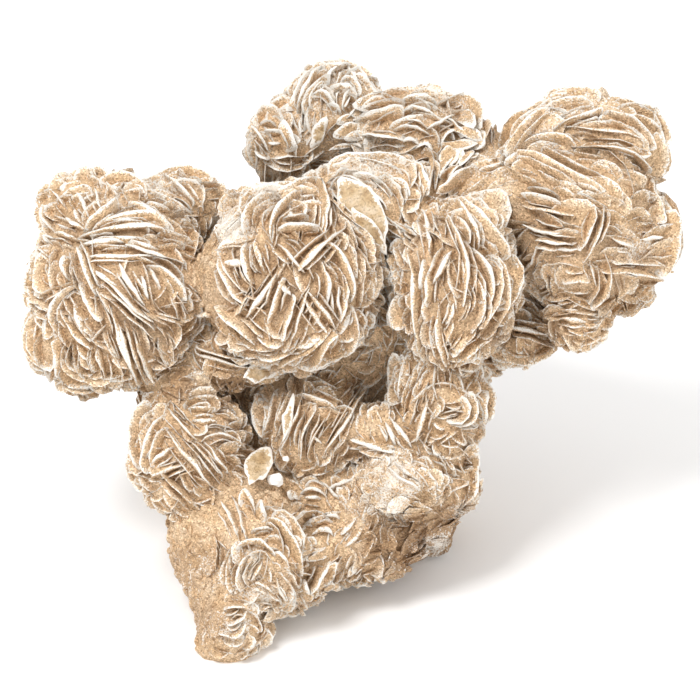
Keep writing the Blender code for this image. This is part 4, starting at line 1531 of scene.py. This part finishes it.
def sand_colour(tree, coords, grain, edge, hollow):
    """The stone without its frost, with painted shade: darker away from the rim, brown deep in the gaps."""
    tint = attribute(tree, "tint", (-2000, -700))
    cloudy = noise(tree, coords, (-1850, 0), PATCH_SCALE, 4.0)
    patches = maths(tree, (-1700, 0), "SUBTRACT", cloudy, TINT_SHARE / 2)
    tinted = maths(tree, (-1550, 0), "MULTIPLY_ADD", tint, TINT_SHARE, patches)
    sand = ramp(tree, (-1400, 0), tinted, SAND_COLOURS)
    specks = ramp(tree, (-1400, 400), grain.outputs["Tone"], SPECK_SHADES)
    # Painted shade: darker away from the rim, then brown deep in the gaps.
    body = smooth_range(tree, (-1400, -300), edge, *RIM_DISTANCE_SHADE_RANGE)
    shaded_away_from_rim = mixed(tree, (-1100, 0), body, sand, RIM_DISTANCE_SHADE)
    gap = smooth_range(tree, (-1400, -500), hollow, *GAP_DEPTH)
    gap_shaded = mixed(tree, (-900, 0), gap, shaded_away_from_rim, GAP_SHADE_BROWN)
    return mixed(tree, (-700, 100), GRAIN_SHARE, gap_shaded, specks, "MULTIPLY")


print("sand runs from", SAND_COLOURS[0][1], "to", SAND_COLOURS[-1][1])

# %% Frost on the rims and powder on the tops
SPECK_SCALE = 2300.0
DRIFT_SCALE = 330.0
FROST_SPECKS = -4.4
FROST_DRIFTS = -2.2
FROST_SNOW = -0.8
FROST_START = 3.78
RIM_FROST = (0.95, 0.05)
POWDER_SPECKS = 2.4
POWDER_DRIFTS = 1.6
POWDER_RANGE = (2.5, 3.1, 0.8)


def frost_share(tree, coords, edge, hollow):
    """How white each point is: wide on the rims, speckled, and less in the painted shade of the gaps."""
    snow = attribute(tree, "snow", (-2000, -900))
    powdered = attribute(tree, "powder", (-2000, -1100))
    speck = noise(tree, coords, (-1700, -1300), SPECK_SCALE, 2.0)
    drift = noise(tree, coords, (-1700, -1500), DRIFT_SCALE, 3.0)
    ragged = maths(tree, (-1400, -1300), "MULTIPLY_ADD", speck, FROST_SPECKS, edge)
    drifted = maths(tree, (-1250, -1300), "MULTIPLY_ADD", drift, FROST_DRIFTS, ragged)
    snowy = maths(tree, (-1100, -1300), "MULTIPLY_ADD", snow, FROST_SNOW, drifted)
    # Painted shade: the hollows and the spots of painted shade hold the white back.
    held_back_in_shade = maths(tree, (-950, -1300), "ADD", hollow, snowy)
    rim = maths(tree, (-800, -1300), "ADD", held_back_in_shade, FROST_START)
    frost = smooth_range(tree, (-650, -1300), rim, *RIM_FROST)
    lumpy = maths(tree, (-1400, -1600), "MULTIPLY_ADD", drift, POWDER_DRIFTS, powdered)
    settled = maths(tree, (-1250, -1600), "MULTIPLY_ADD", speck, POWDER_SPECKS, lumpy)
    dusted = smooth_range(tree, (-950, -1600), settled, *POWDER_RANGE)
    return maths(tree, (-450, -1300), "MAXIMUM", frost, dusted, clamp=True)


bare_reach = RIM_FROST[0] - FROST_START - (FROST_SPECKS + FROST_DRIFTS) / 2
print("without snow, frost reaches about", round(bare_reach, 2), "mm in from the rim")

# %% The stone's material
FROST_WHITE = (0.88, 0.85, 0.79, 1)
BUMP_STRENGTH = 0.7
BUMP_DISTANCE = 0.6 * MM
STONE_ROUGHNESS = 0.85


def stone_material():
    """Sand with painted brown shade in the gaps, white frost, and a bump at the size of the grains."""
    material, tree, shader = fresh_material("sandy_gypsum", STONE_ROUGHNESS)
    coords = node(tree, "ShaderNodeTexCoord", (-2000, 0)).outputs["Object"]
    edge = attribute(tree, "edge", (-2000, -300))
    hollow = attribute(tree, "hollow", (-2000, -500))
    grain = grained_by(tree, (-1700, 400))
    sand = sand_colour(tree, coords, grain, edge, hollow)
    white = mixed(tree, (-400, 0), frost_share(tree, coords, edge, hollow), sand, FROST_WHITE)
    bump = node(tree, "ShaderNodeBump", (-250, -400))
    bump.inputs["Strength"].default_value = BUMP_STRENGTH
    bump.inputs["Distance"].default_value = BUMP_DISTANCE
    wire(
        tree,
        (white, shader.inputs["Base Color"]),
        (grain.outputs["Height"], bump.inputs["Height"]),
        (bump.outputs[0], shader.inputs["Normal"]),
    )
    return material


STONE = stone_material()
print("stone material with", len(STONE.node_tree.nodes), "nodes")

# %% [markdown]
# ## Honey plates and pebbles
# A clear plate lets some light in and looks smoother and more golden than the sandy blades. Real
# transmission would show the brown stone behind it and take long to render. The plates are thin and
# cloudy, so a warm, mottled, glossier surface with the same frost on its rim looks right. The pebbles
# are plain white.

# %% The honey material
HONEY_COLOURS = ((0.36, (0.38, 0.25, 0.125)), (0.5, (0.51, 0.375, 0.22)), (0.64, (0.62, 0.50, 0.355)))
HONEY_DOTS = ((0.0, (0.5, 0.45, 0.4)), (0.25, (0.9, 0.88, 0.85)), (0.9, (1.2, 1.2, 1.2)))
HONEY_CLOUDS = 320.0
HONEY_GRAIN = 0.7
HONEY_FROST = (-0.1, -0.55, 0.9)
HONEY_SPECK_SCALE = 1500.0
HONEY_SPECKS = -1.8
HONEY_WHITE = (0.86, 0.83, 0.77, 1)
HONEY_ROUGHNESS = 0.42


def honey_material():
    """Mottled honey with a little sand in it and frost on its rim."""
    material, tree, shader = fresh_material("honey_gypsum", HONEY_ROUGHNESS)
    coords = node(tree, "ShaderNodeTexCoord", (-1200, 0)).outputs["Object"]
    honey = ramp(tree, (-800, 0), noise(tree, coords, (-1000, 0), HONEY_CLOUDS, 6.0), HONEY_COLOURS)
    dots = ramp(tree, (-800, 300), grained_by(tree, (-1000, 300)).outputs["Tone"], HONEY_DOTS)
    dotted = mixed(tree, (-550, 100), HONEY_GRAIN, honey, dots, "MULTIPLY")
    edge = attribute(tree, "edge", (-1000, -300))
    speck = noise(tree, coords, (-1000, -500), HONEY_SPECK_SCALE, 2.0)
    ragged = maths(tree, (-700, -300), "MULTIPLY_ADD", speck, HONEY_SPECKS, edge)
    frost = smooth_range(tree, (-500, -300), ragged, *HONEY_FROST)
    tree.links.new(mixed(tree, (-300, 0), frost, dotted, HONEY_WHITE), shader.inputs["Base Color"])
    return material


HONEY = honey_material()
print("honey material with", len(HONEY.node_tree.nodes), "nodes")

# %% The pebbles' material, and dressing every piece
PEBBLE_WHITE = (0.90, 0.885, 0.85, 1)
PEBBLE_ROUGHNESS = 0.55


def plain_material(name, colour, roughness):
    """One even colour."""
    material, _, shader = fresh_material(name, roughness)
    shader.inputs["Base Color"].default_value = colour
    return material


def belongs(piece, material):
    """Dresses a piece and ties it to the stone."""
    piece.data.materials.append(material)
    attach(piece, "root")
    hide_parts(NODE)


for piece in pieces:
    belongs(piece, STONE)
belongs(honey, HONEY)
WHITE = plain_material("white_gypsum", PEBBLE_WHITE, PEBBLE_ROUGHNESS)
for ball in pebbles:
    belongs(ball, WHITE)
print(len(pieces) + 1 + len(pebbles), "pieces dressed")

# %% [markdown]
# ## Floor, light and camera
# Small hard lamps would draw black shadows between the blades. A pale floor and large soft lights keep
# the shadows light, so that the blades are read by their white rims. The camera looks down by 30
# degrees, straight at the drawing plane, through a long lens that hardly distorts.

# %% Floor
FLOOR_SIZE = 8.0
FLOOR_MIDDLE = (0, 1.5, 0)
FLOOR_PAINT = (0.93, 0.93, 0.93, 1)
FLOOR_ROUGHNESS = 0.9
floor = fresh("plane", "floor", size=FLOOR_SIZE, location=FLOOR_MIDDLE)
floor.data.materials.append(plain_material("pale_floor", FLOOR_PAINT, FLOOR_ROUGHNESS))
print("floor", FLOOR_SIZE, "m wide")

# %% Lights
LIGHTS = {
    # place, size, power
    "key_light": ((-0.55, -0.8, 1.5), 0.5, 19.5),
    "fill_light": ((1.2, -0.8, 0.7), 1.2, 3.0),
}
LIT_PLACE = Vector((0, 0, 0.05))
SKY_COLOUR = (1.0, 1.0, 1.0, 1)
SKY_STRENGTH = 1.03


def soft_light(name, place, size, power):
    """A square lamp that shines at the middle of the stone."""
    light = bpy.data.lights.new(name, "AREA")
    light.size = size
    light.energy = power
    lamp = bpy.data.objects.new(name, light)
    lamp.location = place
    lamp.rotation_euler = (LIT_PLACE - Vector(place)).to_track_quat("-Z", "Y").to_euler()
    bpy.context.scene.collection.objects.link(lamp)


for name, how in LIGHTS.items():
    soft_light(name, *how)
world = bpy.data.worlds.new("studio")
world.use_nodes = True
sky = world.node_tree.nodes["Background"]
sky.inputs["Color"].default_value = SKY_COLOUR
sky.inputs["Strength"].default_value = SKY_STRENGTH
bpy.context.scene.world = world
print(len(LIGHTS), "soft lights and a white sky")

# %% Camera
VIEW_WIDTH = 161.0
CAMERA_DISTANCE = 2500.0
SENSOR = 36.0
FARTHEST_SEEN = 20.0
camera_data = bpy.data.cameras.new("camera")
camera_data.sensor_width = SENSOR
camera_data.lens = SENSOR * CAMERA_DISTANCE / VIEW_WIDTH
camera_data.clip_end = FARTHEST_SEEN
camera = bpy.data.objects.new("camera", camera_data)
camera.location = stand_up((0, 0, -CAMERA_DISTANCE))
camera.rotation_euler = (math.pi / 2 - LEAN, 0, 0)
bpy.context.scene.collection.objects.link(camera)
bpy.context.scene.camera = camera
bpy.context.scene.view_settings.view_transform = "Standard"
print("camera at", [round(c, 3) for c in camera.location])
